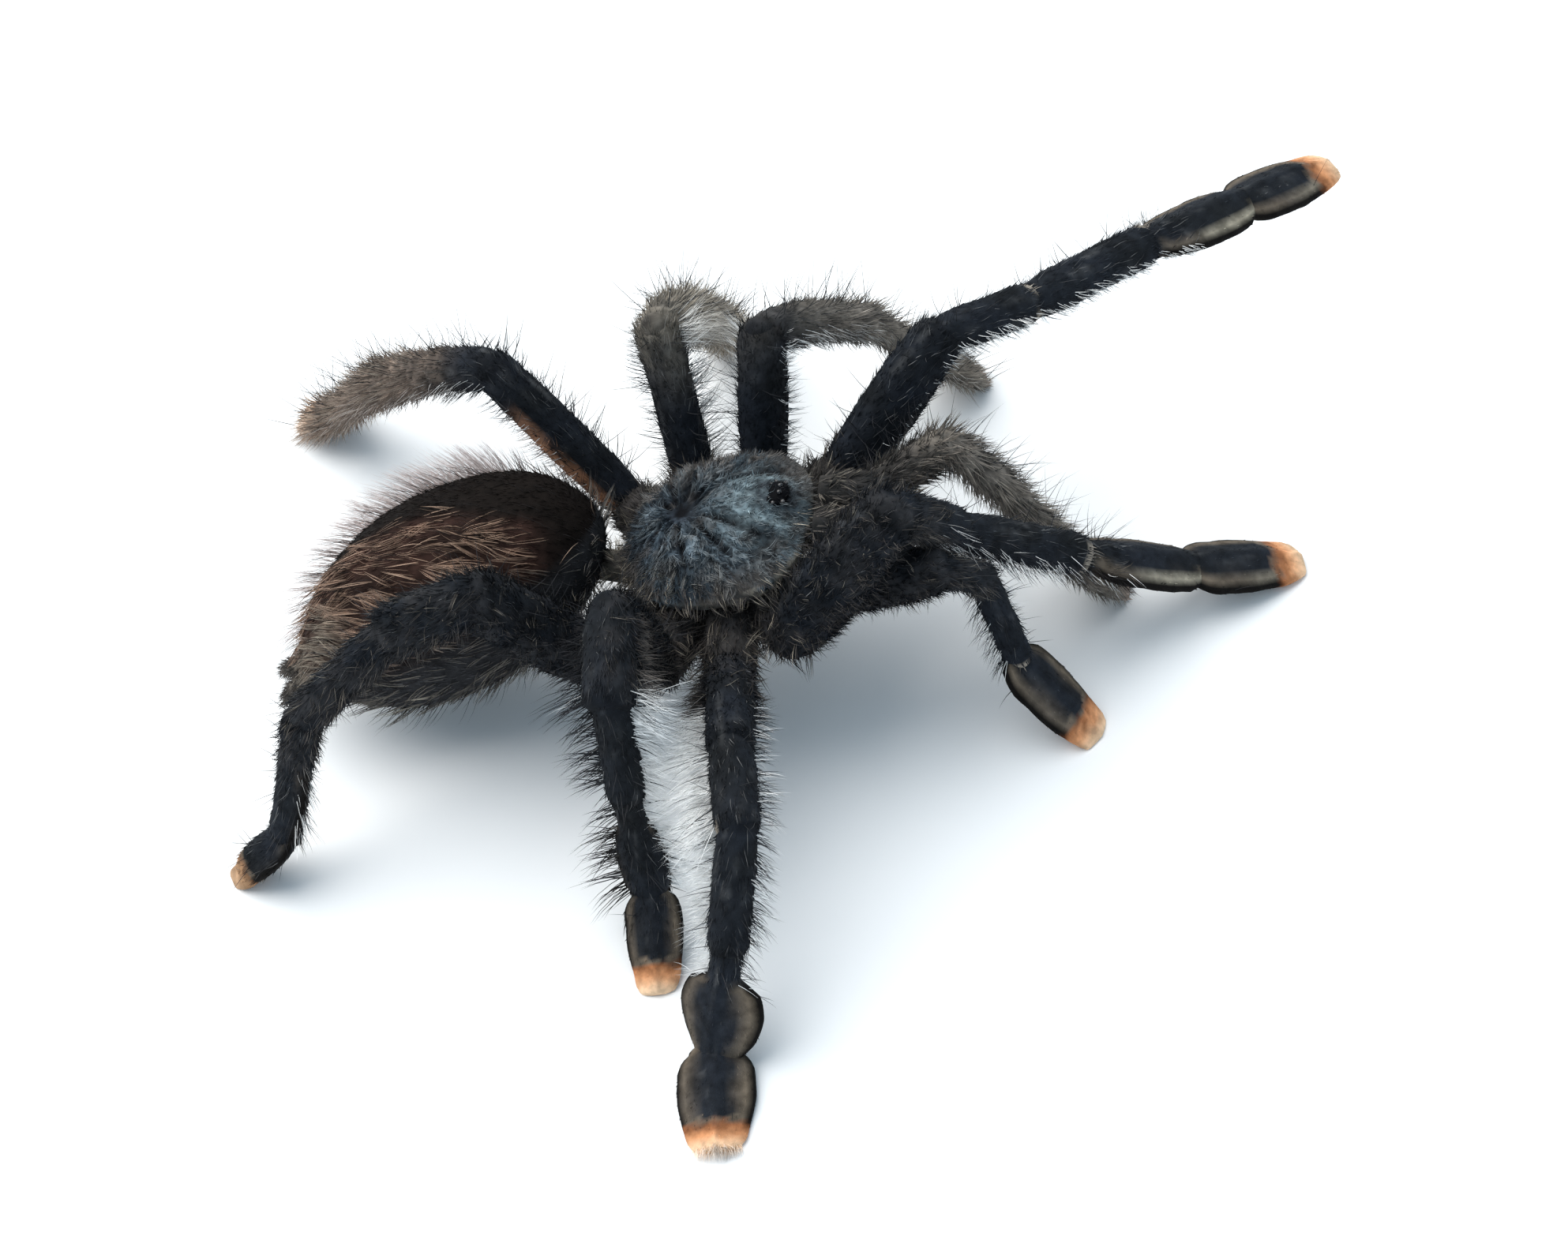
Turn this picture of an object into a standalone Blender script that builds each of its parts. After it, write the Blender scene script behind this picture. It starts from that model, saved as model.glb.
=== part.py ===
"""A dried tarantula specimen, standing on its feet with its left front leg held up.

+X points to the animal's head, +Y to its left side and +Z up. The origin is on the ground, under
the middle of the whole specimen. Driving dimensions are in millimetres, the model is in metres.
"""

import math

import bmesh
import bpy
from mathutils import Matrix, Vector

MM = 0.001
GAP = 0.3  # between neighbouring pieces, where a dry skin joins them

# The middle body: a domed shield over a lower plate that carries the hips. Its own frame has its
# origin at the middle of the shield's rim, and it is tilted head up.
RIM_HEIGHT = 17.3
BODY_PITCH = 13.0
SHIELD_FRONT, SHIELD_REAR, SHIELD_HALF_WIDTH = 11.0, -7.5, 8.8
HEAD_BLUNTNESS, HEAD_NARROWING = 0.64, 0.0  # of the rim's outline, towards the head
SHIELD_DOME, DOME_POWERS = 3.6, (2.6, 0.75)
SHIELD_RIM = 1.1  # height of the upright edge
HEAD_X, HEAD_RISE, HEAD_SPREAD = 6.8, 2.0, (4.2, 3.6)  # the swelling on which the eyes sit
FOVEA_X, FOVEA_DEPTH, FOVEA_SPREAD = -0.9, 0.7, 0.16  # the pit that the grooves run out from
EYE_X, EYE_HALF, EYE_SUNK = 8.6, (1.25, 1.5, 0.8), 0.3

# The hips, where each limb's trochanter ends: forward, out to the side, above the ground
HIPS = {
    "leg_1": (9.0, 9.5, 15.7),
    "leg_2": (3.2, 12.0, 13.8),
    "leg_3": (-3.5, 12.0, 13.6),
    "leg_4": (-9.3, 9.8, 11.6),
    "palp": (12.0, 4.9, 16.3),
    "leg_1_left": (11.0, 9.5, 15.7),  # drawn forward with its raised leg
}
# Where each hip joint's base leaves the breastplate, in the body's own frame
HIP_ROOTS = {
    "leg_1": (4.6, 2.6, -3.1),
    "leg_2": (1.6, 3.0, -3.1),
    "leg_3": (-1.8, 3.0, -3.1),
    "leg_4": (-4.6, 2.4, -3.1),
    "palp": (6.6, 2.0, -3.2),
}
HIP_RADIUS = {"leg_1": 2.7, "leg_2": 2.6, "leg_3": 2.5, "leg_4": 2.6, "palp": 1.8}
# A hip joint's outline: how far along it, and its radius as a multiple of the hip's
HIP_SHAPE = ((-0.1, 0.6), (0.0, 0.85), (0.55, 1.0), (0.86, 0.95), (1.0, 0.88), (1.13, 0.74))
BREASTPLATE_MIDDLE, BREASTPLATE_HALF = (0.4, 0.0, -3.0), (6.6, 4.6, 2.6)

# The limbs: the length of each segment from the hip out, and the femur's half-thickness
LEG_SEGMENTS = ("femur", "patella", "tibia", "metatarsus", "tarsus")
PALP_SEGMENTS = ("femur", "patella", "tibia", "tarsus")
LENGTHS = {
    "leg_1": (16.5, 10.0, 14.5, 13.0, 11.0),
    "leg_2": (15.0, 9.0, 11.0, 10.5, 8.8),
    "leg_3": (15.0, 8.0, 10.0, 11.5, 8.5),
    "leg_4": (19.0, 8.0, 12.5, 14.5, 8.2),
    "palp": (12.0, 7.0, 9.2, 10.3),
}
FEMUR_RADIUS = {"leg_1": 2.45, "leg_2": 2.35, "leg_3": 2.2, "leg_4": 2.2, "palp": 1.8}
# Limbs thicker or thinner than the others: how much, for each segment from the hip out
FULLNESS = {
    "leg_1_left": (1.05, 0.92, 1.05, 1.05, 1.0),
    "leg_3_left": (1.0, 1.1, 1.25, 1.5, 1.4),
    "leg_3_right": (1.15, 1.25, 1.0, 1.0, 1.0),
    "leg_4_left": (1.0, 1.1, 1.2, 1.5, 1.35),
    "leg_4_right": (1.2, 1.25, 1.05, 1.3, 1.25),
}
# How wide the pads of the metatarsus and of the tarsus are
PAD_SCALE = {
    "leg_1": (1.0, 1.0),
    "leg_2": (1.0, 1.0),
    "leg_3": (0.58, 0.76),
    "leg_4": (0.58, 0.76),
    "palp": (0.9, 0.88),
}
# Each limb as it dried: for every segment its compass angle from +X towards +Y, and its slope.
# A slope of None is a foot that comes down to the ground from wherever its ankle is.
POSE = {
    "leg_1_left": ((34, 44), (40, -12), (47, -11), (48, -15), (43, -11)),
    "leg_2_left": ((70, 74), (62, -33), (65, -43), (48, -56), (47, None)),
    "leg_3_left": ((110, 67), (90, -35), (87, -46), (92, -51), (96, None)),
    "leg_4_left": ((159, 49), (153, -25), (148, -34), (139, -47), (152, None)),
    "palp_left": ((13, 31), (5, -55), (11, -64), (13, None)),
    "leg_1_right": ((15, 51), (49, -50), (28, -39), (28, -34), (25, None)),
    "leg_2_right": ((-78, 23), (-78, 1), (-106, -58), (-111, -60), (-82, None)),
    "leg_3_right": ((-97, 68), (-85, -15), (-87, -74), (-77, -79), (-82, None)),
    "leg_4_right": ((-140, 60), (-153, -5), (-161, -39), (-153, -70), (-174, None)),
    "palp_right": ((-13, 27), (46, -48), (-38, -70), (-21, None)),
}
TIP_HEIGHT = 0.6  # of the middle of a level foot's tip above the ground, its pad pressed flat

# A tube segment's outline: how far along it, and its radius as a multiple of the segment's
TUBE = ((0.0, 0.86), (0.22, 1.0), (0.62, 1.0), (0.88, 0.95), (1.0, 0.86))
FEMUR_TALL = 0.2  # how much taller than wide a femur is at its middle
SEGMENT_THICKNESS = {"femur": 1.0, "patella": 0.93, "tibia": 0.85, "metatarsus": 0.64, "tarsus": 0.62}
# The two outer segments of a leg end in flat pads of dense hair: how far along, then the pad's
# half-width, None where only the shaft is there. The foot's last column thins it at the tip.
METATARSUS_PAD = ((0.0, None), (0.28, None), (0.4, 3.4), (0.62, 3.85), (0.84, 3.3), (1.0, 2.5))
LONG_PAD = ((0.0, None), (0.22, 2.8), (0.42, 3.2), (0.64, 3.3), (0.85, 3.1), (1.0, 2.5))  # of the front legs
TARSUS_PAD = (
    (0.0, 2.5, 1.0), (0.1, 3.1, 1.0), (0.4, 3.3, 1.0), (0.75, 2.85, 1.0), (0.97, 2.3, 0.92), (1.05, 1.8, 0.62)
)
PAD_DEPTH = 1.25
DOME = ((0.5, 0.86), (0.84, 0.5))  # a round end: steps past the joint, and what is left there
# A limb's cross-section, as shares of its half-width, height and depth
WIDEST_BELOW = 0.12
SHOULDER = (0.68, 0.72)
BELLY, BELLY_SQUARING = 0.72, 0.14  # a pad's lower edges are squarer than a tube's

# The abdomen: an egg behind the waist, in its own frame with +X to the waist
ABDOMEN_MIDDLE = (-24.8, -2.3, 13.2)
ABDOMEN_HALF = (16.2, 9.7, 8.9)
ABDOMEN_YAW, ABDOMEN_PITCH = 16.0, 22.0
ABDOMEN_TAPER = 0.2  # how much slimmer the rear end is than an even egg
ABDOMEN_RINGS, ABDOMEN_SECTORS, ABDOMEN_CAP = 11, 16, 0.6
WAIST_START, WAIST_END, WAIST_RADIUS = (-5.0, 0.0, -3.2), (-12.0, 0.7, -0.7), 1.5
WAIST_SECTORS = 10
SPINNERET_LENGTH, SPINNERET_RADIUS, SPINNERET_SPREAD, SPINNERET_DROOP = 3.0, 0.75, 0.92, 0.8
SPINNERET_SHAPE = ((0.0, 0.9), (0.35, 1.0), (0.7, 0.8), (1.0, 0.35))

# The jaws, in the body's own frame: how far along, then shares of the half-width and half-height
JAW_BASE, JAW_LENGTH, JAW_SLOPE = (11.3, 2.2, 1.2), 6.5, -18.0
JAW_HALF = (1.85, 2.2)
JAW_SHAPE = ((0.0, 0.9, 0.92), (0.3, 1.0, 1.0), (0.75, 0.96, 0.92), (0.94, 0.7, 0.66), (1.0, 0.4, 0.4))
# The fang folded under each jaw: forward, up and radius at five points from its root
FANG = ((16.5, -2.6, 0.8), (16.7, -3.9, 0.7), (16.0, -5.1, 0.5), (14.6, -5.9, 0.3), (13.4, -6.0, 0.1))
THIN_SECTORS = 8  # round a fang or a spinneret

# Locks of long hair, raised from faces of the mesh and leaning along the limb
LOCK_FOOT, LOCK_LENGTH, LOCK_LEAN = 0.42, 3.4, 0.7
# Where locks stand on a segment: (ring, place round it), on the back and the two flanks
LOCKS = {
    "femur": ((2, 1), (3, 3), (3, 2), (4, 1)),
    "patella": ((3, 1), (3, 3)),
    "tibia": ((2, 2), (3, 0), (3, 3), (4, 1)),
    "metatarsus": ((2, 1), (2, 3)),
}

# Base colour, roughness and metallic value of each material
COLOURS = {
    "shield": ((0.075, 0.105, 0.125), 0.45, 0.25),
    "velvet": ((0.020, 0.022, 0.028), 0.85, 0.0),
    "foot": ((0.055, 0.048, 0.036), 0.8, 0.0),
    "abdomen": ((0.060, 0.028, 0.018), 0.85, 0.0),
    "underside": ((0.050, 0.042, 0.036), 0.85, 0.0),
    "fang": ((0.012, 0.008, 0.008), 0.15, 0.0),
    "spinneret": ((0.130, 0.090, 0.060), 0.8, 0.0),
}
SHARP_ANGLE = math.radians(50)


def clear_scene():
    for item in list(bpy.data.objects):
        bpy.data.objects.remove(item, do_unlink=True)


def material(kind):
    """The named material, made once."""
    found = bpy.data.materials.get(kind)
    if found:
        return found
    colour, roughness, metallic = COLOURS[kind]
    made = bpy.data.materials.new(kind)
    made.use_nodes = True
    shader = made.node_tree.nodes["Principled BSDF"]
    shader.inputs["Base Color"].default_value = (*colour, 1.0)
    shader.inputs["Roughness"].default_value = roughness
    shader.inputs["Metallic"].default_value = metallic
    return made


def add_object(name, bm, kind):
    """Turns a mesh drawn in millimetres into a smooth-shaded object in metres."""
    bmesh.ops.scale(bm, vec=(MM, MM, MM), verts=bm.verts)
    bmesh.ops.recalc_face_normals(bm, faces=bm.faces)
    mesh = bpy.data.meshes.new(name)
    bm.to_mesh(mesh)
    bm.free()
    mesh.shade_smooth()
    mesh.set_sharp_from_angle(angle=SHARP_ANGLE)
    mesh.materials.append(material(kind))
    made = bpy.data.objects.new(name, mesh)
    bpy.context.scene.collection.objects.link(made)
    return made


def add_tool(name, bm):
    """A guide solid for a Boolean, left out of the finished object."""
    tool = add_object(name, bm, "velvet")
    tool.hide_render = True
    tool.display_type = "WIRE"
    return tool


def combine(target, tool, operation):
    change = target.modifiers.new(tool.name, "BOOLEAN")
    change.operation = operation
    change.object = tool


def section(side, top, sole):
    """Eight points round a limb: a ridged back over a lower half that can widen to a flat pad."""
    ridge = min(side, top)
    belly = BELLY + BELLY_SQUARING * min(1.0, side / ridge - 1.0)
    return (
        (side, -WIDEST_BELOW * sole),
        (SHOULDER[0] * ridge, SHOULDER[1] * top),
        (0.0, top),
        (-SHOULDER[0] * ridge, SHOULDER[1] * top),
        (-side, -WIDEST_BELOW * sole),
        (-belly * side, -belly * sole),
        (0.0, -sole),
        (belly * side, -belly * sole),
    )


def circle(centre, side, up, radius, sectors):
    """Points round a centre in the plane of two directions."""
    angles = [math.tau * number / sectors for number in range(sectors)]
    return [centre + (side * math.cos(angle) + up * math.sin(angle)) * radius for angle in angles]


def loft(rings):
    """One closed skin through rings of equal count, its two ends filled. Returns mesh and faces,
    the faces by ring and then round it."""
    bm = bmesh.new()
    levels = [[bm.verts.new(point) for point in ring] for ring in rings]
    faces = []
    for low, high in zip(levels, levels[1:]):
        pairs = list(zip(low, high))
        turned = pairs[1:] + pairs[:1]
        faces.append([bm.faces.new((a, c, d, b)) for (a, b), (c, d) in zip(pairs, turned)])
    bm.faces.new(levels[0][::-1])
    bm.faces.new(levels[-1])
    bmesh.ops.recalc_face_normals(bm, faces=bm.faces)
    return bm, faces


def raise_lock(bm, face, along):
    """Draws a slim pointed lock of hair out of the middle of a face, leaning along the limb."""
    rise, middle = face.normal.copy(), face.calc_center_median()
    width = min(edge.calc_length() for edge in face.edges)
    bmesh.ops.inset_individual(bm, faces=[face], thickness=width / 4)
    for corner in face.verts:
        corner.co = middle + (corner.co - middle).normalized() * LOCK_FOOT
    tip = bmesh.ops.poke(bm, faces=[face])["verts"][0]
    tip.co += (rise + LOCK_LEAN * along).normalized() * LOCK_LENGTH


def cut(bm, point, outward):
    """Cuts away what lies beyond a plane and fills the cut."""
    geometry = bm.verts[:] + bm.edges[:] + bm.faces[:]
    result = bmesh.ops.bisect_plane(
        bm, geom=geometry, dist=1e-5, plane_co=point, plane_no=outward, clear_outer=True
    )
    edges = [item for item in result["geom_cut"] if isinstance(item, bmesh.types.BMEdge)]
    if edges:
        bmesh.ops.contextual_create(bm, geom=edges)


def directions(yaw, slope):
    """A segment's forward, side and upper directions."""
    yaw, slope = math.radians(yaw), math.radians(slope)
    level = Vector((math.cos(yaw), math.sin(yaw), 0.0))
    side = Vector((-math.sin(yaw), math.cos(yaw), 0.0))
    forward = level * math.cos(slope) + Vector((0.0, 0.0, math.sin(slope)))
    return forward, side, forward.cross(side)


def body_matrix():
    """Carries the body's own frame into the model's, in millimetres."""
    tilt = Matrix.Rotation(-math.radians(BODY_PITCH), 4, "Y")
    return Matrix.Translation((0.0, 0.0, RIM_HEIGHT)) @ tilt


def abdomen_matrix():
    turn = Matrix.Rotation(math.radians(ABDOMEN_YAW), 4, "Z")
    tilt = Matrix.Rotation(-math.radians(ABDOMEN_PITCH), 4, "Y")
    return Matrix.Translation(ABDOMEN_MIDDLE) @ turn @ tilt


def mirrored(point, limb):
    """A left-side point, moved to the limb's own side."""
    x, y, z = point
    return Vector((x, -y if limb.endswith("right") else y, z))


def limb_kind(limb):
    return limb.rsplit("_", 1)[0]


def hip_root(limb):
    return body_matrix() @ mirrored(HIP_ROOTS[limb_kind(limb)], limb)


def standing_slope(height, length):
    """The slope at which a foot comes down onto the ground from an ankle at this height."""
    reach = math.hypot(length, TIP_HEIGHT)
    return math.degrees(math.atan(TIP_HEIGHT / length) - math.asin(height / reach))


def limb_layout(limb):
    """The limb's joint centres from the hip out, and each segment's compass angle and slope."""
    points, angles = [mirrored(HIPS.get(limb, HIPS[limb_kind(limb)]), limb)], []
    for (yaw, slope), length in zip(POSE[limb], LENGTHS[limb_kind(limb)]):
        if slope is None:
            slope = standing_slope(points[-1].z, length)
        angles.append((yaw, slope))
        points.append(points[-1] + directions(yaw, slope)[0] * length)
    return points, angles


def tube_stations(length, radius, tall):
    """Along, half-width, height and depth of a tube, round-ended past both joints. It is taller
    than wide in the middle by the share that tall gives."""
    start, end = TUBE[0][1] * radius, TUBE[-1][1] * radius
    outline = [(-step * start, keep * start) for step, keep in reversed(DOME)]
    outline += [(share * length, size * radius) for share, size in TUBE]
    outline += [(length + step * end, keep * end) for step, keep in DOME]
    stations = []
    for along, size in outline:
        high = size * (1.0 + tall * max(0.0, math.sin(math.pi * along / length)))
        stations.append((along, size, high, high))
    return stations


def metatarsus_stations(length, radius, pad, shape):
    """A thin shaft that widens to a flat pad over its outer part."""
    end = shape[-1][1] * pad
    stations = []
    for step, keep in reversed(DOME):
        stations.append((-step * radius, keep * radius, keep * radius, keep * radius))
    for share, width in shape:
        half_width, depth = (radius, radius) if width is None else (width * pad, PAD_DEPTH)
        stations.append((share * length, half_width, radius, depth))
    for step, keep in DOME:
        stations.append((length + step * radius, keep * end, keep * radius, keep * PAD_DEPTH))
    return stations


def tarsus_stations(length, radius, pad):
    """A flat blunt foot."""
    start = TARSUS_PAD[0][1] * pad
    stations = []
    for step, keep in reversed(DOME):
        stations.append((-step * radius, keep * start, keep * radius, keep * PAD_DEPTH))
    for share, width, thin in TARSUS_PAD:
        stations.append((share * length, width * pad, radius * thin, PAD_DEPTH * thin))
    return stations


def segment_stations(limb, number, segment):
    kind = limb_kind(limb)
    length = LENGTHS[kind][number]
    fullness = FULLNESS[limb][number] if limb in FULLNESS else 1.0
    radius = FEMUR_RADIUS[kind] * SEGMENT_THICKNESS[segment] * fullness
    if segment == "metatarsus":
        shape = LONG_PAD if kind == "leg_1" else METATARSUS_PAD
        return metatarsus_stations(length, radius, PAD_SCALE[kind][0], shape)
    if segment == "tarsus":
        return tarsus_stations(length, radius, PAD_SCALE[kind][1])
    return tube_stations(length, radius, FEMUR_TALL if segment == "femur" else 0.0)


def segment_mesh(start, angles, stations):
    forward, side, up = directions(*angles)
    rings = []
    for along, width, top, sole in stations:
        centre = start + forward * along
        rings.append([centre + side * u + up * v for u, v in section(width, top, sole)])
    return loft(rings)


def make_limb(limb):
    """A leg or palp: one object for each segment, cut apart in the middle of each bend."""
    kind = limb_kind(limb)
    segments = PALP_SEGMENTS if kind == "palp" else LEG_SEGMENTS
    points, angles = limb_layout(limb)
    headings = [(points[0] - hip_root(limb)).normalized()]
    headings += [(b - a).normalized() for a, b in zip(points, points[1:])]
    for number, segment in enumerate(segments):
        bm, faces = segment_mesh(points[number], angles[number], segment_stations(limb, number, segment))
        for ring, place in LOCKS.get(segment, ()):
            if kind == "palp" and segment != "tibia":
                continue  # there the palps pass close by the jaws and the front legs
            raise_lock(bm, faces[ring][place], headings[number + 1])
        inner = (headings[number] + headings[number + 1]).normalized()
        cut(bm, points[number] + inner * GAP / 2, -inner)
        if number + 1 < len(segments):
            outer = (headings[number + 1] + headings[number + 2]).normalized()
            cut(bm, points[number + 1] - outer * GAP / 2, outer)
        else:
            cut(bm, Vector((0.0, 0.0, 0.0)), Vector((0.0, 0.0, -1.0)))
        add_object(f"{limb}_{segment}", bm, "foot" if segment == "tarsus" else "velvet")


def shield_outline(angle):
    """The shield's rim: nearly round, blunt at the head."""
    middle = (SHIELD_FRONT + SHIELD_REAR) / 2
    half = (SHIELD_FRONT - SHIELD_REAR) / 2
    ahead = math.cos(angle)
    power = HEAD_BLUNTNESS if ahead > 0 else 1.0
    x = math.copysign(abs(ahead) ** power, ahead) * half
    y = math.sin(angle) * SHIELD_HALF_WIDTH * (1.0 - HEAD_NARROWING * max(0.0, ahead))
    return middle + x, y


def shield_height(x, y, share):
    """The dome's height over the rim plane, at a share of the way from the fovea to the rim."""
    dome = SHIELD_DOME * (1.0 - share ** DOME_POWERS[0]) ** DOME_POWERS[1]
    head = math.exp(-(((x - HEAD_X) / HEAD_SPREAD[0]) ** 2) - (y / HEAD_SPREAD[1]) ** 2)
    pit = math.exp(-((share / FOVEA_SPREAD) ** 2))
    return SHIELD_RIM + dome + HEAD_RISE * head - FOVEA_DEPTH * pit


def make_shield():
    """The carapace: a dome with a pit at its middle, a raised head and an eye mound."""
    sectors, shares = 24, (0.1, 0.3, 0.52, 0.72, 0.88, 0.97, 1.0)
    bm = bmesh.new()
    centre = bm.verts.new((FOVEA_X, 0.0, shield_height(FOVEA_X, 0.0, 0.0)))
    base = bm.verts.new((FOVEA_X, 0.0, 0.0))
    rings = []
    for share in shares:
        ring = []
        for number in range(sectors):
            rim_x, rim_y = shield_outline(math.tau * number / sectors)
            x, y = FOVEA_X + (rim_x - FOVEA_X) * share, rim_y * share
            ring.append(bm.verts.new((x, y, shield_height(x, y, share))))
        rings.append(ring)
    rings.append([bm.verts.new((v.co.x, v.co.y, 0.0)) for v in rings[-1]])
    for low, high in zip(rings, rings[1:]):
        for i in range(sectors):
            j = (i + 1) % sectors
            bm.faces.new((low[i], low[j], high[j], high[i]))
    for i in range(sectors):
        j = (i + 1) % sectors
        bm.faces.new((centre, rings[0][j], rings[0][i]))
        bm.faces.new((base, rings[-1][i], rings[-1][j]))
    bmesh.ops.transform(bm, matrix=body_matrix(), verts=bm.verts)
    shield = add_object("carapace", bm, "shield")
    eyes = bmesh.new()
    top = shield_height(EYE_X, 0.0, (EYE_X - FOVEA_X) / (SHIELD_FRONT - FOVEA_X))
    lift = Matrix.Translation((EYE_X, 0.0, top - EYE_SUNK))
    place = body_matrix() @ lift @ Matrix.Diagonal((*EYE_HALF, 1.0))
    bmesh.ops.create_uvsphere(eyes, u_segments=10, v_segments=6, radius=1.0, matrix=place)
    combine(shield, add_tool("eye_mound", eyes), "UNION")


def hip_mesh(limb):
    """One hip joint, from inside the breastplate to the cut where the femur starts."""
    radius = HIP_RADIUS[limb_kind(limb)]
    points, angles = limb_layout(limb)
    root = hip_root(limb)
    reach = points[0] - root
    heading = reach.normalized()
    yaw = math.degrees(math.atan2(heading.y, heading.x))
    slope = math.degrees(math.asin(heading.z))
    sizes = [(share * reach.length, size * radius) for share, size in HIP_SHAPE]
    bm, _ = segment_mesh(root, (yaw, slope), [(along, size, size, size) for along, size in sizes])
    bend = (heading + directions(*angles[0])[0]).normalized()
    cut(bm, points[0] - bend * GAP / 2, bend)
    return bm


def make_underside():
    """The breastplate with the ten hip joints and the waist grown onto it."""
    bm = bmesh.new()
    middle = body_matrix() @ Matrix.Translation(BREASTPLATE_MIDDLE)
    place = middle @ Matrix.Diagonal((*BREASTPLATE_HALF, 1.0))
    bmesh.ops.create_uvsphere(bm, u_segments=16, v_segments=8, radius=1.0, matrix=place)
    underside = add_object("underside", bm, "underside")
    for limb in POSE:
        combine(underside, add_tool(f"{limb}_hip", hip_mesh(limb)), "UNION")
    combine(underside, add_tool("waist_peg", waist_mesh(0.0)), "UNION")


def waist_mesh(extra):
    """The narrow waist, or the hole for it when extra is the gap."""
    start, end = body_matrix() @ Vector(WAIST_START), body_matrix() @ Vector(WAIST_END)
    heading = (end - start).normalized()
    side = heading.cross(Vector((0.0, 0.0, 1.0))).normalized()
    up = side.cross(heading)
    ends = (start - heading * extra, end + heading * extra)
    return loft([circle(centre, side, up, WAIST_RADIUS + extra, WAIST_SECTORS) for centre in ends])[0]


def make_abdomen():
    """An egg, slimmer to the rear, with locks on its back and flanks."""
    half_long, half_wide, half_high = ABDOMEN_HALF
    rings = []
    for level in range(ABDOMEN_RINGS):
        lie = math.pi * (level + ABDOMEN_CAP) / (ABDOMEN_RINGS - 1 + 2 * ABDOMEN_CAP)
        x = -math.cos(lie)
        size = math.sin(lie) * (1.0 - ABDOMEN_TAPER * max(0.0, -x) ** 2)
        ring = []
        for number in range(ABDOMEN_SECTORS):
            turn = math.tau * number / ABDOMEN_SECTORS
            y, z = math.cos(turn) * size, math.sin(turn) * size
            ring.append(Vector((x * half_long, y * half_wide, z * half_high)))
        rings.append(ring)
    bm, faces = loft(rings)
    rearward = Vector((-1.0, 0.0, 0.0))
    for level in range(1, ABDOMEN_RINGS - 2):
        for number in range(level % 2 - 1, ABDOMEN_SECTORS // 2, 2):
            raise_lock(bm, faces[level][number % ABDOMEN_SECTORS], rearward)
    bmesh.ops.transform(bm, matrix=abdomen_matrix(), verts=bm.verts)
    abdomen = add_object("abdomen", bm, "abdomen")
    combine(abdomen, add_tool("waist_hole", waist_mesh(GAP)), "DIFFERENCE")


def make_spinnerets():
    """The two long spinnerets at the tail."""
    side, up = Vector((0.0, 1.0, 0.0)), Vector((0.0, 0.0, 1.0))
    tail = Matrix.Translation((-ABDOMEN_HALF[0] - GAP, 0.0, 0.0))
    for name, sign in (("left", 1.0), ("right", -1.0)):
        rings = []
        for share, size in SPINNERET_SHAPE:
            out, drop = sign * (SPINNERET_SPREAD + share), SPINNERET_DROOP * share**2
            centre = Vector((-share * SPINNERET_LENGTH, out, -drop))
            rings.append(circle(centre, side, up, size * SPINNERET_RADIUS, THIN_SECTORS))
        bm = loft(rings)[0]
        bmesh.ops.transform(bm, matrix=abdomen_matrix() @ tail, verts=bm.verts)
        add_object(f"spinneret_{name}", bm, "spinneret")


def fang_rings(across):
    """Rings square to the fang's curve, on the line of a jaw that lies this far to the side."""
    points = [Vector((x, across, z)) for x, z, _ in FANG]
    sideways = Vector((0.0, 1.0, 0.0))
    rings = []
    for number, (_, _, radius) in enumerate(FANG):
        before, after = points[max(0, number - 1)], points[min(len(points) - 1, number + 1)]
        up = (after - before).normalized().cross(sideways)
        rings.append(circle(points[number], sideways, up, radius, THIN_SECTORS))
    return rings


def make_jaws():
    """The two chelicerae with a fang folded under each."""
    base_x, base_y, base_z = JAW_BASE
    half_width, half_height = JAW_HALF
    for name, sign in (("left", 1.0), ("right", -1.0)):
        stations = []
        for share, width, height in JAW_SHAPE:
            high = height * half_height
            stations.append((share * JAW_LENGTH, width * half_width, high, high))
        jaw, _ = segment_mesh(Vector((base_x, sign * base_y, base_z)), (0.0, JAW_SLOPE), stations)
        bmesh.ops.transform(jaw, matrix=body_matrix(), verts=jaw.verts)
        add_object(f"chelicera_{name}", jaw, "velvet")
        fang = loft(fang_rings(sign * base_y))[0]
        bmesh.ops.transform(fang, matrix=body_matrix(), verts=fang.verts)
        add_object(f"fang_{name}", fang, "fang")


def centre_on_ground():
    """Moves everything so that the origin is under the middle of the specimen."""
    bpy.context.view_layer.update()
    shown = [item for item in bpy.data.objects if not item.hide_render]
    corners = [item.matrix_world @ Vector(corner) for item in shown for corner in item.bound_box]
    low = [min(corner[axis] for corner in corners) for axis in range(3)]
    high = [max(corner[axis] for corner in corners) for axis in range(3)]
    shift = Vector((-(low[0] + high[0]) / 2, -(low[1] + high[1]) / 2, -low[2]))
    for item in bpy.data.objects:
        item.location += shift


def main():
    clear_scene()
    make_shield()
    make_underside()
    make_abdomen()
    make_spinnerets()
    make_jaws()
    for limb in POSE:
        make_limb(limb)
    centre_on_ground()


main()
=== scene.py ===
"""Looks of the dried tarantula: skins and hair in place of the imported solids, on a pale floor.

Shapes are drawn with numpy in the part's design coordinates, in millimetres, and moved into the
frame when they become meshes. +X points to the head, +Y to the animal's left side and +Z up.
"""

import math

import bpy
import numpy as np
from mathutils import Matrix, Vector


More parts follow.
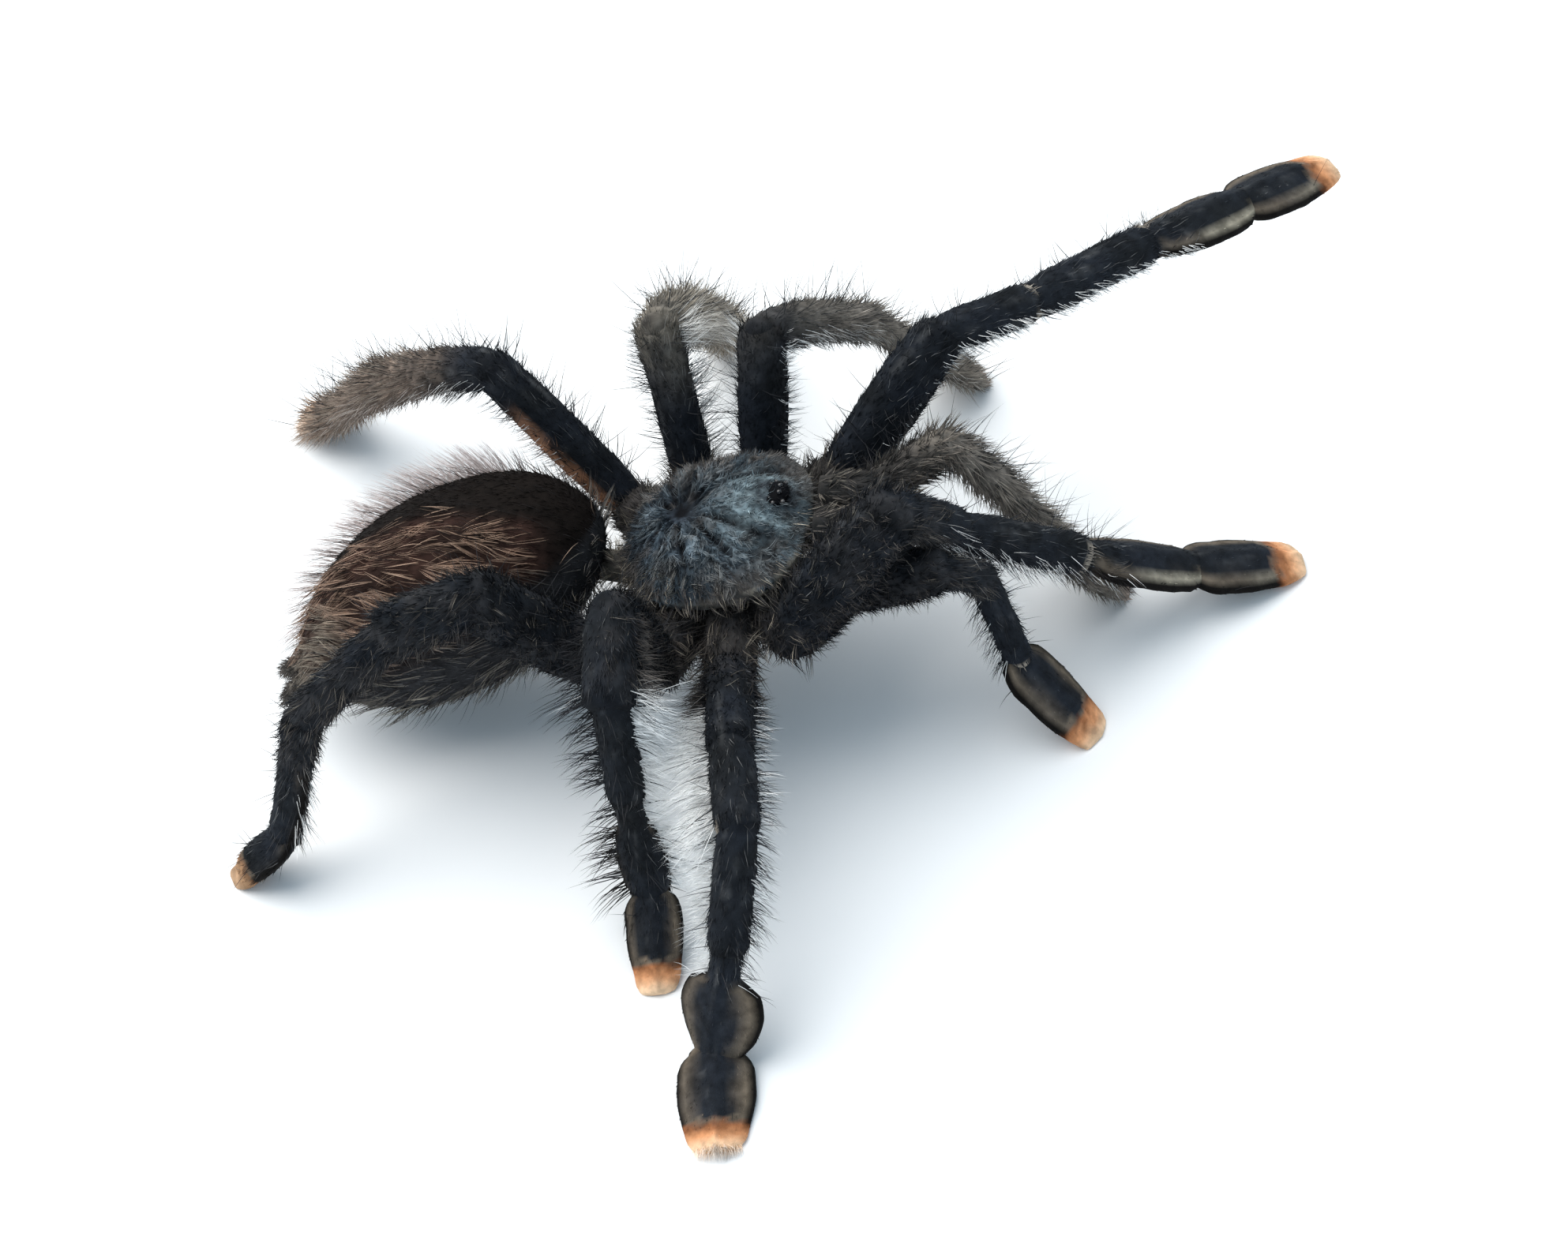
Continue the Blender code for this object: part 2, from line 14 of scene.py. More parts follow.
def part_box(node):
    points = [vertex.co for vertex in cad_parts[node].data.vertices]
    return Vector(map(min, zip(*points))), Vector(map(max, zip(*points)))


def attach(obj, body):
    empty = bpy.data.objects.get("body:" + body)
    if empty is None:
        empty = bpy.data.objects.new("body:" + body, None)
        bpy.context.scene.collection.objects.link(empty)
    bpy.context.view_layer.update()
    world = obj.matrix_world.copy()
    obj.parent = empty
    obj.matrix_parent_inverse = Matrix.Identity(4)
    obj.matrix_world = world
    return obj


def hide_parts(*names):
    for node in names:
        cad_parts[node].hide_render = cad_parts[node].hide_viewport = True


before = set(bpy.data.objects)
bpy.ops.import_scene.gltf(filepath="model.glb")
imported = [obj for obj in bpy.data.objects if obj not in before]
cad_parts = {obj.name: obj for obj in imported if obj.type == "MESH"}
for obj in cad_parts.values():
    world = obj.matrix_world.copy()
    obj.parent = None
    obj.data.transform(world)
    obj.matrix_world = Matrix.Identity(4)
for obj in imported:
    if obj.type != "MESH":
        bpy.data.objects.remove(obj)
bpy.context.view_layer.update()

MM = 0.001

# The part's design, as its solids have it
RIM_HEIGHT, BODY_PITCH = 17.3, 13.0
SHIELD_FRONT, SHIELD_REAR, SHIELD_HALF_WIDTH = 11.0, -7.5, 8.8
HEAD_BLUNTNESS = 0.64
SHIELD_DOME, DOME_POWERS, SHIELD_RIM = 3.6, (2.6, 0.75), 1.1
HEAD_X, HEAD_RISE, HEAD_SPREAD = 6.8, 2.0, (4.2, 3.6)
FOVEA_X, FOVEA_DEPTH, FOVEA_SPREAD = -0.9, 0.7, 0.16
EYE_X, EYE_HALF, EYE_SUNK = 8.6, (1.25, 1.5, 0.8), 0.3
HIPS = {
    "leg_1": (9.0, 9.5, 15.7),
    "leg_2": (3.2, 12.0, 13.8),
    "leg_3": (-3.5, 12.0, 13.6),
    "leg_4": (-9.3, 9.8, 11.6),
    "palp": (12.0, 4.9, 16.3),
    "leg_1_left": (11.0, 9.5, 15.7),
}
HIP_ROOTS = {
    "leg_1": (4.6, 2.6, -3.1),
    "leg_2": (1.6, 3.0, -3.1),
    "leg_3": (-1.8, 3.0, -3.1),
    "leg_4": (-4.6, 2.4, -3.1),
    "palp": (6.6, 2.0, -3.2),
}
HIP_RADIUS = {"leg_1": 2.7, "leg_2": 2.6, "leg_3": 2.5, "leg_4": 2.6, "palp": 1.8}
BREASTPLATE_MIDDLE, BREASTPLATE_HALF = (0.4, 0.0, -3.0), (6.6, 4.6, 2.6)
LEG_SEGMENTS = ("femur", "patella", "tibia", "metatarsus", "tarsus")
PALP_SEGMENTS = ("femur", "patella", "tibia", "tarsus")
SIDES = (("left", 1.0), ("right", -1.0))
LENGTHS = {
    "leg_1": (16.5, 10.0, 14.5, 13.0, 11.0),
    "leg_2": (15.0, 9.0, 11.0, 10.5, 8.8),
    "leg_3": (15.0, 8.0, 10.0, 11.5, 8.5),
    "leg_4": (19.0, 8.0, 12.5, 14.5, 8.2),
    "palp": (12.0, 7.0, 9.2, 10.3),
}
FEMUR_RADIUS = {"leg_1": 2.45, "leg_2": 2.35, "leg_3": 2.2, "leg_4": 2.2, "palp": 1.8}
FULLNESS = {
    "leg_1_left": (1.05, 0.92, 1.05, 1.05, 1.0),
    "leg_3_left": (1.0, 1.1, 1.25, 1.5, 1.4),
    "leg_3_right": (1.15, 1.25, 1.0, 1.0, 1.0),
    "leg_4_left": (1.0, 1.1, 1.2, 1.5, 1.35),
    "leg_4_right": (1.2, 1.25, 1.05, 1.3, 1.25),
}
PAD_SCALE = {
    "leg_1": (1.0, 1.0),
    "leg_2": (1.0, 1.0),
    "leg_3": (0.58, 0.76),
    "leg_4": (0.58, 0.76),
    "palp": (0.9, 0.88),
}
POSE = {
    "leg_1_left": ((34, 44), (40, -12), (47, -11), (48, -15), (43, -11)),
    "leg_2_left": ((70, 74), (62, -33), (65, -43), (48, -56), (47, None)),
    "leg_3_left": ((110, 67), (90, -35), (87, -46), (92, -51), (96, None)),
    "leg_4_left": ((159, 49), (153, -25), (148, -34), (139, -47), (152, None)),
    "palp_left": ((13, 31), (5, -55), (11, -64), (13, None)),
    "leg_1_right": ((15, 51), (49, -50), (28, -39), (28, -34), (25, None)),
    "leg_2_right": ((-78, 23), (-78, 1), (-106, -58), (-111, -60), (-82, None)),
    "leg_3_right": ((-97, 68), (-85, -15), (-87, -74), (-77, -79), (-82, None)),
    "leg_4_right": ((-140, 60), (-153, -5), (-161, -39), (-153, -70), (-174, None)),
    "palp_right": ((-13, 27), (46, -48), (-38, -70), (-21, None)),
}
TIP_HEIGHT = 0.6
SEGMENT_THICKNESS = {"femur": 1.0, "patella": 0.93, "tibia": 0.85, "metatarsus": 0.64, "tarsus": 0.62}
PAD_DEPTH = 1.25
ABDOMEN_MIDDLE, ABDOMEN_HALF = (-24.8, -2.3, 13.2), (16.2, 9.7, 8.9)
ABDOMEN_YAW, ABDOMEN_PITCH, ABDOMEN_TAPER = 16.0, 22.0, 0.2
WAIST_START, WAIST_END, WAIST_RADIUS = (-5.0, 0.0, -3.2), (-12.0, 0.7, -0.7), 1.5
SPINNERET_LENGTH, SPINNERET_RADIUS, SPINNERET_SPREAD, SPINNERET_DROOP = 3.0, 0.75, 0.92, 0.8
JAW_BASE, JAW_LENGTH, JAW_SLOPE, JAW_HALF = (11.3, 2.2, 1.2), 6.5, -18.0, (1.85, 2.2)
FANG = ((16.5, -2.6, 0.8), (16.7, -3.9, 0.7), (16.0, -5.1, 0.5), (14.6, -5.9, 0.3), (13.4, -6.0, 0.1))
GAP = 0.3

# Where the design's origin lies in the frame: the shield's front edge and its middle show it
shield_low, shield_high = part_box("carapace")
ORIGIN = np.array([
    shield_high.x / MM - SHIELD_FRONT * math.cos(math.radians(BODY_PITCH)),
    (shield_low.y + shield_high.y) / 2 / MM,
    0.0,
])

# Camera, light and floor
CAMERA_ELEVATION, CAMERA_AZIMUTH, CAMERA_ROLL = 47.83, 16.76, -12.69
CAMERA_TARGET, CAMERA_DISTANCE = (6.01, -1.96, 8.0), 318.82
LENS, SENSOR = 79.35, 36.0
# A broad soft light from the far left, so that shadows fall to the near right
KEY_TILT, KEY_TURN, KEY_SPREAD, KEY_ENERGY = 32.0, 240.0, 75.0, 3.7
KEY_COLOUR, SKY_COLOUR, SKY_STRENGTH = (1.0, 0.95, 0.89), (0.71, 0.87, 1.0, 1.0), 0.76
FLOOR_HALF, PAPER = 3.0, (0.90, 0.91, 0.92, 1.0)  # the floor's half in metres


def in_frame(points):
    """Design millimetres to the frame's metres."""
    return (np.asarray(points, float) + ORIGIN) * MM


def set_inputs(node, values):
    """Gives some of a node's inputs their constant values."""
    for name, value in values.items():
        node.inputs[name].default_value = value
    return node


def make_camera():
    lift, turn, roll = (math.radians(a) for a in (CAMERA_ELEVATION, CAMERA_AZIMUTH, CAMERA_ROLL))
    ahead = Vector((-math.sin(turn) * math.cos(lift), math.cos(turn) * math.cos(lift), -math.sin(lift)))
    right = Vector((math.cos(turn), math.sin(turn), 0.0))
    up = right.cross(ahead)
    rolled_right = right * math.cos(roll) + up * math.sin(roll)
    rolled_up = up * math.cos(roll) - right * math.sin(roll)
    data = bpy.data.cameras.new("camera")
    data.lens, data.sensor_width = LENS, SENSOR
    data.clip_start, data.clip_end = 0.01, 20.0
    camera = bpy.data.objects.new("camera", data)
    bpy.context.scene.collection.objects.link(camera)
    place = Matrix((rolled_right, rolled_up, -ahead)).transposed().to_4x4()
    place.translation = Vector(in_frame(CAMERA_TARGET)) - ahead * CAMERA_DISTANCE * MM
    camera.matrix_world = place
    bpy.context.scene.camera = camera


def make_light():
    scene = bpy.context.scene
    scene.view_settings.view_transform = "Standard"
    world = bpy.data.worlds.new("studio")
    scene.world = world
    world.use_nodes = True
    set_inputs(world.node_tree.nodes["Background"], {"Color": SKY_COLOUR, "Strength": SKY_STRENGTH})
    sun = bpy.data.lights.new("key", "SUN")
    sun.energy, sun.angle = KEY_ENERGY, math.radians(KEY_SPREAD)
    sun.color = KEY_COLOUR
    lamp = bpy.data.objects.new("key", sun)
    scene.collection.objects.link(lamp)
    lamp.rotation_euler = (math.radians(KEY_TILT), 0.0, math.radians(KEY_TURN))


def make_floor():
    far = FLOOR_HALF
    mesh = bpy.data.meshes.new("floor")
    mesh.from_pydata([(-far, -far, 0), (far, -far, 0), (far, far, 0), (-far, far, 0)], [], [(0, 1, 2, 3)])
    floor = bpy.data.objects.new("floor", mesh)
    bpy.context.scene.collection.objects.link(floor)
    paper = bpy.data.materials.new("floor_paper")
    paper.use_nodes = True
    shader = paper.node_tree.nodes["Principled BSDF"]
    set_inputs(shader, {"Base Color": PAPER, "Roughness": 0.9, "Specular IOR Level": 0.1})
    mesh.materials.append(paper)


# Arithmetic on many points at once
def unit(vectors):
    return vectors / np.maximum(np.linalg.norm(vectors, axis=-1, keepdims=True), 1e-9)


def ramp(low, high, values):
    share = np.clip((values - low) / (high - low), 0.0, 1.0)
    return share * share * (3.0 - 2.0 * share)


def mix(first, second, share):
    return first + (second - first) * np.asarray(share)[..., None]


def seen(red, green, blue):
    """A colour as the eye sees it, 0 to 255, turned into the renderer's linear values."""
    share = np.array([red, green, blue]) / 255.0
    return np.where(share < 0.04045, share / 12.92, ((share + 0.055) / 1.055) ** 2.4)


LATTICE = 32
lattice_values = np.random.default_rng(11).random((LATTICE,) * 3)


def noise(points, size):
    """Smooth noise from 0 to 1 whose lumps are about this many millimetres across."""
    scaled = np.asarray(points, float) / size
    cell = np.floor(scaled).astype(int)
    part = scaled - cell
    part = part * part * (3.0 - 2.0 * part)
    total = np.zeros(len(scaled))
    for corner in np.ndindex(2, 2, 2):
        weight = np.prod(np.where(corner, part, 1.0 - part), axis=1)
        spot = (cell + corner) % LATTICE
        total += weight * lattice_values[spot[:, 0], spot[:, 1], spot[:, 2]]
    return total


def eased(at, places, values):
    """Values at places, joined by a curve that never overshoots."""
    places, values = np.asarray(places, float), np.asarray(values, float)
    steps = np.diff(places)
    rises = np.diff(values) / steps
    tangents = np.zeros(len(values))
    same = rises[:-1] * rises[1:] > 0
    tangents[1:-1][same] = 2.0 * rises[:-1][same] * rises[1:][same] / (rises[:-1] + rises[1:])[same]
    tangents[0], tangents[-1] = rises[0], rises[-1]
    cell = np.clip(np.searchsorted(places, at) - 1, 0, len(steps) - 1)
    share = (at - places[cell]) / steps[cell]
    rest, step = 1 - share, steps[cell]
    low = (1 + 2 * share) * rest**2 * values[cell] + share * rest**2 * step * tangents[cell]
    high = share**2 * (3 - 2 * share) * values[cell + 1] + share**2 * (share - 1) * step * tangents[cell + 1]
    return low + high


def directions(yaw, slope):
    yaw, slope = math.radians(yaw), math.radians(slope)
    level = np.array([math.cos(yaw), math.sin(yaw), 0.0])
    side = np.array([-math.sin(yaw), math.cos(yaw), 0.0])
    forward = level * math.cos(slope) + np.array([0.0, 0.0, math.sin(slope)])
    return forward, side, np.cross(forward, side)


def body_place(points):
    """Points of the middle body's own frame, tilted head up, in design coordinates."""
    x, y, z = np.asarray(points, float).T
    tilt = math.radians(BODY_PITCH)
    ahead, up = x * math.cos(tilt) - z * math.sin(tilt), x * math.sin(tilt) + z * math.cos(tilt)
    return np.stack([ahead, y, up + RIM_HEIGHT], -1)


def abdomen_place(points):
    ahead, side, up = directions(ABDOMEN_YAW, ABDOMEN_PITCH)
    return np.asarray(points, float) @ np.stack([ahead, side, up]) + np.array(ABDOMEN_MIDDLE)


def mirrored(point, limb):
    x, y, z = point
    return np.array([x, -y if limb.endswith("right") else y, z])


def limb_kind(limb):
    return limb.rsplit("_", 1)[0]


def limb_layout(limb):
    """Joint centres from the hip out, and each segment's compass angle and slope."""
    points, angles = [mirrored(HIPS.get(limb, HIPS[limb_kind(limb)]), limb)], []
    for (yaw, slope), length in zip(POSE[limb], LENGTHS[limb_kind(limb)]):
        if slope is None:
            reach = math.hypot(length, TIP_HEIGHT)
            slope = math.degrees(math.atan(TIP_HEIGHT / length) - math.asin(points[-1][2] / reach))
        angles.append((yaw, slope))
        points.append(points[-1] + directions(yaw, slope)[0] * length)
    return points, angles


# Colours
VELVET = seen(27, 29, 31)
VELVET_BLUE = seen(34, 38, 45)
STREAK = seen(118, 118, 118)
BRISTLE_TIP = seen(253, 253, 252)
FRINGE_PALE, FRINGE_DARK = seen(238, 237, 235), seen(66, 64, 66)
PAD, PAD_PALE = seen(110, 99, 86), seen(172, 164, 146)
# The thin dark line along a pad's edge is painted shade, where the pad turns under
PAD_EDGE_SHADE = seen(20, 18, 17)
MEMBRANE = seen(164, 154, 142)
BROWN_HAIR, OLIVE_HAIR, FADED_HAIR = seen(138, 122, 110), seen(134, 126, 117), seen(166, 156, 142)
SHIELD = seen(34, 39, 46)
SHIELD_GROOVE = seen(12, 13, 17)
SHIELD_HAIR, SHIELD_HAIR_PALE = seen(74, 86, 95), seen(142, 150, 154)
SHIELD_HEAD, EYE_PURPLE = seen(126, 142, 147), seen(27, 24, 33)
PEARLY_EYE, DARK_EYE = seen(76, 74, 74), seen(14, 12, 16)
FANG_BLACK, FANG_RED = seen(16, 10, 9), seen(70, 26, 16)
RIM_BROWN = seen(86, 81, 77)
TAN, TAN_PALE = seen(98, 92, 87), seen(184, 174, 158)
ABDOMEN_DARK = seen(37, 31, 28)
COPPER, COPPER_PALE = seen(98, 69, 61), seen(232, 196, 170)
BEIGE = seen(136, 122, 110)
FAR_HAIR = seen(226, 212, 208)
UNDER = seen(46, 46, 48)
RUST = seen(164, 122, 96)


# Skins: closed meshes that also know where hair lies and which part of the animal each point is
class Skin:
    def __init__(self, points, faces, flow, marks):
        self.points, self.faces, self.flow, self.marks = points, faces, flow, marks
        corners = points[faces]
        across = np.cross(corners[:, 1] - corners[:, 0], corners[:, 2] - corners[:, 0])
        self.areas = np.linalg.norm(across, axis=1) / 2
        self.normals = np.zeros_like(points)
        for corner in range(3):
            np.add.at(self.normals, faces[:, corner], across)
        self.normals = unit(self.normals)

    def painted(self, colours):
        """Its points, faces and colours: one colour for all points, or one for each."""
        return self.points, self.faces, np.broadcast_to(colours, self.points.shape)

    def weighed(self, weight):
        """How many square millimetres of each face the weights of its points amount to."""
        return self.areas * np.broadcast_to(weight, len(self.points))[self.faces].mean(1)

    def scatter(self, count, weight, rng):
        """Random spots on the skin, where the weight of its points allows."""
        share = self.weighed(weight)
        chosen = rng.choice(len(self.faces), count, p=share / share.sum())
        a, b = rng.random(count), rng.random(count)
        fold = a + b > 1
        a[fold], b[fold] = 1 - a[fold], 1 - b[fold]
        parts = np.stack([1 - a - b, a, b], 1)
        corners = self.faces[chosen]

        def read(values):
            values = values[corners]
            return np.einsum("ij,ij...->i...", parts, values)

        spots = {name: read(values) for name, values in self.marks.items()}
        spots["point"] = read(self.points)
        spots["normal"], spots["flow"] = unit(read(self.normals)), unit(read(self.flow))
        return spots


def tube_faces(rings, around):
    """Triangles of a tube of rings with a point at either end, the points numbered last."""
    ring, place = np.meshgrid(np.arange(rings - 1), np.arange(around), indexing="ij")
    a = ring * around + place
    b = ring * around + (place + 1) % around
    sides = np.concatenate([
        np.stack([a, b, b + around], -1).reshape(-1, 3),
        np.stack([a, b + around, a + around], -1).reshape(-1, 3),
    ])
    place = np.arange(around)
    after = (place + 1) % around
    first, last = rings * around, rings * around + 1
    last_ring = (rings - 1) * around
    start = np.stack([np.full(around, first), after, place], -1)
    end = np.stack([np.full(around, last), last_ring + place, last_ring + after], -1)
    return np.concatenate([sides, start, end])


SECTION_SIDES = 24
WIDEST_BELOW, SHOULDER, BELLY, BELLY_SQUARING = 0.12, (0.68, 0.72), 0.72, 0.14


def closed_curve_weights(controls, samples):
    """Weights that turn a ring of control points into a smooth closed curve through them."""
    weights = np.zeros((samples, controls))
    for row in range(samples):
        at = row * controls / samples
        cell, t = int(at), at - int(at)
        for step, share in (
            (-1, -0.5 * t + t * t - 0.5 * t**3),
            (0, 1.0 - 2.5 * t * t + 1.5 * t**3),
            (1, 0.5 * t + 2.0 * t * t - 1.5 * t**3),
            (2, -0.5 * t * t + 0.5 * t**3),
        ):
            weights[row, (cell + step) % controls] += share
    return weights


SECTION_WEIGHTS = closed_curve_weights(8, SECTION_SIDES)


def sections(side, top, sole):
    """Smooth outlines across a limb, one for each station: ridged back, wide flat pad below."""
    ridge = np.minimum(side, top)
    belly = BELLY + BELLY_SQUARING * np.minimum(1.0, side / ridge - 1.0)
    bend, foot = SHOULDER[0] * ridge, belly * side
    wide = [side, bend, 0 * side, -bend, -side, -foot, 0 * side, foot]
    low, bend, foot = -WIDEST_BELOW * sole, SHOULDER[1] * top, -belly * sole
    high = [low, bend, top, bend, low, foot, -sole, foot]
    return np.einsum("rc,csk->srk", SECTION_WEIGHTS, np.stack([np.stack(wide), np.stack(high)], -1))


def lofted(start, angles, along, side, top, sole, length):
    """A closed skin along a straight axis through smooth cross-sections."""
    forward, sideways, up = directions(*angles)
    outlines = sections(side, top, sole)
    centres = start + np.outer(along, forward)
    points = centres[:, None] + outlines[..., :1] * sideways + outlines[..., 1:] * up
    rings, around = outlines.shape[:2]
    points = np.concatenate([points.reshape(-1, 3), centres[:1], centres[-1:]])
    share = np.append(np.repeat(along / length, around), [along[0] / length, along[-1] / length])
    across = np.append((outlines[..., 0] / side[:, None]).ravel(), [0.0, 0.0])
    height = np.append((outlines[..., 1] / top[:, None]).ravel(), [0.0, 0.0])
    flow = np.tile(forward, (len(points), 1))
    marks = {"along": share, "across": across, "height": height}
    return Skin(points, tube_faces(rings, around), flow, marks)


# Along a segment, then multiples of its radius, or a pad's half-width in millimetres
TUBE_PLACES, TUBE_SIZES = (0.0, 0.1, 0.3, 0.62, 0.93, 1.0), (0.8, 0.94, 1.0, 1.0, 1.0, 0.93)
METATARSUS_PLACES, METATARSUS_WIDTHS = (0.0, 0.26, 0.38, 0.58, 0.82, 1.0), (1.5, 1.6, 3.3, 4.0, 3.4, 2.3)
PAD_SHAPES = {
    "leg_1": ((0.0, 0.12, 0.24, 0.42, 0.64, 0.88, 1.0), (1.6, 2.4, 2.9, 3.2, 3.35, 3.1, 2.4)),
    "leg_3": ((0.0, 0.2, 0.45, 0.7, 0.9, 1.0), (2.4, 2.6, 3.5, 3.9, 3.7, 3.0)),
}
TARSUS_PLACES, TARSUS_WIDTHS = (0.0, 0.08, 0.2, 0.45, 0.8, 0.95, 1.0), (2.4, 3.05, 3.35, 3.4, 2.85, 2.5, 2.2)
FEMUR_TALL = 0.2
PAD_START, PAD_STARTS = 0.28, {"leg_1": 0.04}  # where a metatarsus widens to its pad
# The nap stands on a skin that lies this much under the solid
NAP_DEPTH, PAD_NAP_DEPTH = 0.15, 0.1
BODY_RINGS, END_RINGS = 24, 5
END_TURN = np.linspace(0.0, math.pi / 2, END_RINGS + 1)[1:] * 0.93  # where a round end's rings lie
# How far a segment's round ends bulge past its joints, as shares of its radius
NEAR_BULGE, FAR_BULGE, TOE_BULGE = 0.9, 0.55, 0.5
# The thick coat that two femora carry on top of their solids
SHAGGY_FEMORA = {"leg_1_right": 1.2, "palp_right": 1.3}


def segment_skin(limb, number, segment, start, angles):
    """One limb segment, with round ends that overlap its neighbours at the joints."""
    kind = limb_kind(limb)
    length = LENGTHS[kind][number]
    fullness = FULLNESS[limb][number] if limb in FULLNESS else 1.0
    if segment == "femur":
        fullness *= SHAGGY_FEMORA.get(limb, 1.0)
    radius = FEMUR_RADIUS[kind] * SEGMENT_THICKNESS[segment] * fullness - NAP_DEPTH
    share = np.linspace(0.0, 1.0, BODY_RINGS)
    if segment == "metatarsus":
        places, widths = PAD_SHAPES.get(kind, (METATARSUS_PLACES, METATARSUS_WIDTHS))
        side = eased(share, places, widths) * PAD_SCALE[kind][0] - PAD_NAP_DEPTH
        widens = PAD_STARTS.get(kind, PAD_START)
        flare = ramp(widens - 0.02, widens + 0.12, share)
        side = radius + (np.maximum(side, radius) - radius) * flare
        top = np.full_like(side, radius)
        sole = radius + (PAD_DEPTH - radius) * flare
    elif segment == "tarsus":
        widths = eased(share, TARSUS_PLACES, TARSUS_WIDTHS) * PAD_SCALE[kind][1]
        side = np.maximum(widths - PAD_NAP_DEPTH, radius)
        top = np.full_like(side, radius) * (1.0 - 0.5 * ramp(0.62, 1.0, share))
        sole = np.full_like(side, PAD_DEPTH) * (1.0 - 0.4 * ramp(0.8, 1.0, share))
    else:
        side = radius * eased(share, TUBE_PLACES, TUBE_SIZES)
        top = side * (1.0 + (FEMUR_TALL if segment == "femur" else 0.0) * np.sin(math.pi * share))
        sole = top
    before = -np.sin(END_TURN[::-1]) * radius * NEAR_BULGE
    after = length + np.sin(END_TURN) * radius * (TOE_BULGE if segment == "tarsus" else FAR_BULGE)
    along = np.concatenate([before, share * length, after])
    near, far = np.cos(END_TURN[::-1]), np.cos(END_TURN)
    side, top, sole = (np.concatenate([near * v[0], v, far * v[-1]]) for v in (side, top, sole))
    return lofted(start, angles, along, side, top, sole, length)


# Meshes
def make_piece(name, parts, finish, slot, *nodes, smooth=True):
    """One piece of several parts, each given as points, faces and colours, in place of some nodes."""
    starts = np.cumsum([0] + [len(part[0]) for part in parts])
    points, colours = (np.concatenate([part[place] for part in parts]) for place in (0, 2))
    faces = np.concatenate([part[1] + start for part, start in zip(parts, starts)])
    mesh = bpy.data.meshes.new(name)
    mesh.vertices.add(len(points))
    mesh.vertices.foreach_set("co", in_frame(points).astype(np.float32).ravel())
    mesh.loops.add(faces.size)
    mesh.loops.foreach_set("vertex_index", faces.astype(np.int32).ravel())
    mesh.polygons.add(len(faces))
    mesh.polygons.foreach_set("loop_start", np.arange(0, faces.size, 3, dtype=np.int32))
    mesh.update(calc_edges=True)
    mesh.validate()
    mesh.polygons.foreach_set("use_smooth", np.full(len(mesh.polygons), smooth))
    tint = mesh.color_attributes.new("tint", "FLOAT_COLOR", "POINT")
    opaque = np.column_stack([colours, np.ones(len(colours))])
    tint.data.foreach_set("color", opaque.astype(np.float32).ravel())
    mesh.materials.append(finish)
    piece = bpy.data.objects.new(name, mesh)
    bpy.context.scene.collection.objects.link(piece)
    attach(piece, "root")
    if nodes:
        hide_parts(*nodes)


# Hair
HAIR_CLEARANCE = 0.11  # between the ground and the middle of any hair


def spikes(roots, middles, tips, thickness, root_colour, tip_colour, rings):
    """Closed three-sided tapering hairs, each along a curve from its root to its tip."""
    tip_colour = np.broadcast_to(tip_colour, roots.shape)
    heading = unit(middles - roots)
    anyway = np.where(np.abs(heading[:, 2:]) < 0.8, [[0.0, 0.0, 1.0]], [[1.0, 0.0, 0.0]])
    side = unit(np.cross(heading, anyway))
    up = np.cross(heading, side)
    points, colours = [], []
    for level in np.arange(rings) / rings:
        centre = roots * (1 - level) ** 2 + middles * 2 * level * (1 - level) + tips * level**2
        size = (thickness * (1.0 - level) ** 0.8)[:, None]
        for turn in (0.0, math.tau / 3, 2 * math.tau / 3):
            points.append(centre + (side * math.cos(turn) + up * math.sin(turn)) * size)
            colours.append(mix(root_colour, tip_colour, level))
    points.append(tips)
    colours.append(tip_colour)
    each = 3 * rings + 1
    points = np.stack(points, 1).reshape(-1, 3)
    colours = np.stack(colours, 1).reshape(-1, 3)
    pattern = [(0, 2, 1)]
    for level in range(rings - 1):
        for place in range(3):
            a, b = 3 * level + place, 3 * level + (place + 1) % 3
            pattern += [(a, b, b + 3), (a, b + 3, a + 3)]
    last = 3 * (rings - 1)
    pattern += [(last + place, last + (place + 1) % 3, each - 1) for place in range(3)]
    faces = (np.arange(len(roots))[:, None, None] * each + np.array(pattern)).reshape(-1, 3)
    return points, faces, colours


def hair(spots, rng, length, thickness, rise, lean, spread, curl, root_colour, tip_colour, rings, clump=None):
    """Hairs at the spots, rising from the skin, leaning along its flow and curling that way."""
    count = len(spots["point"])
    scatter = rng.normal(size=(count, 3)) * spread
    heading = unit(spots["normal"] * rise + spots["flow"] * lean + scatter)
    reach = (length * rng.uniform(0.65, 1.25, count))[:, None]
    roots = spots["point"] - spots["normal"] * 0.05
    middles = roots + heading * reach * 0.5
    wander = rng.normal(size=(count, 3)) * spread * 0.5
    tips = middles + unit(heading + spots["flow"] * curl + wander) * reach * 0.5
    if clump:
        spacing, strength = clump
        leaders = rng.choice(count, max(1, count // spacing), replace=False)
        nearest = np.empty(count, int)
        for low in range(0, count, 2000):
            gaps = roots[low : low + 2000, None] - roots[leaders][None]
            nearest[low : low + 2000] = (gaps**2).sum(-1).argmin(1)
        leader = leaders[nearest]
        apart = roots - roots[leader]
        tips = mix(tips, tips[leader] + apart * 0.25, strength)
        middles = mix(middles, middles[leader] + apart * 0.8, strength * 0.6)
    for part in (roots, middles, tips):
        part[:, 2] = np.maximum(part[:, 2], HAIR_CLEARANCE)
    thick = thickness * rng.uniform(0.75, 1.25, count)
    return spikes(roots, middles, tips, thick, root_colour, tip_colour, rings)


def vary(colour, rng, amount, count=None):
    """Each hair a little lighter or darker than the next. One colour for all takes their count."""
    return colour * np.exp(rng.normal(size=count or len(colour)) * amount)[:, None]


# Materials
GRAIN_SCALE, PATCH_SCALE, GRAIN_DEPTH = 9000.0, 900.0, 0.0001


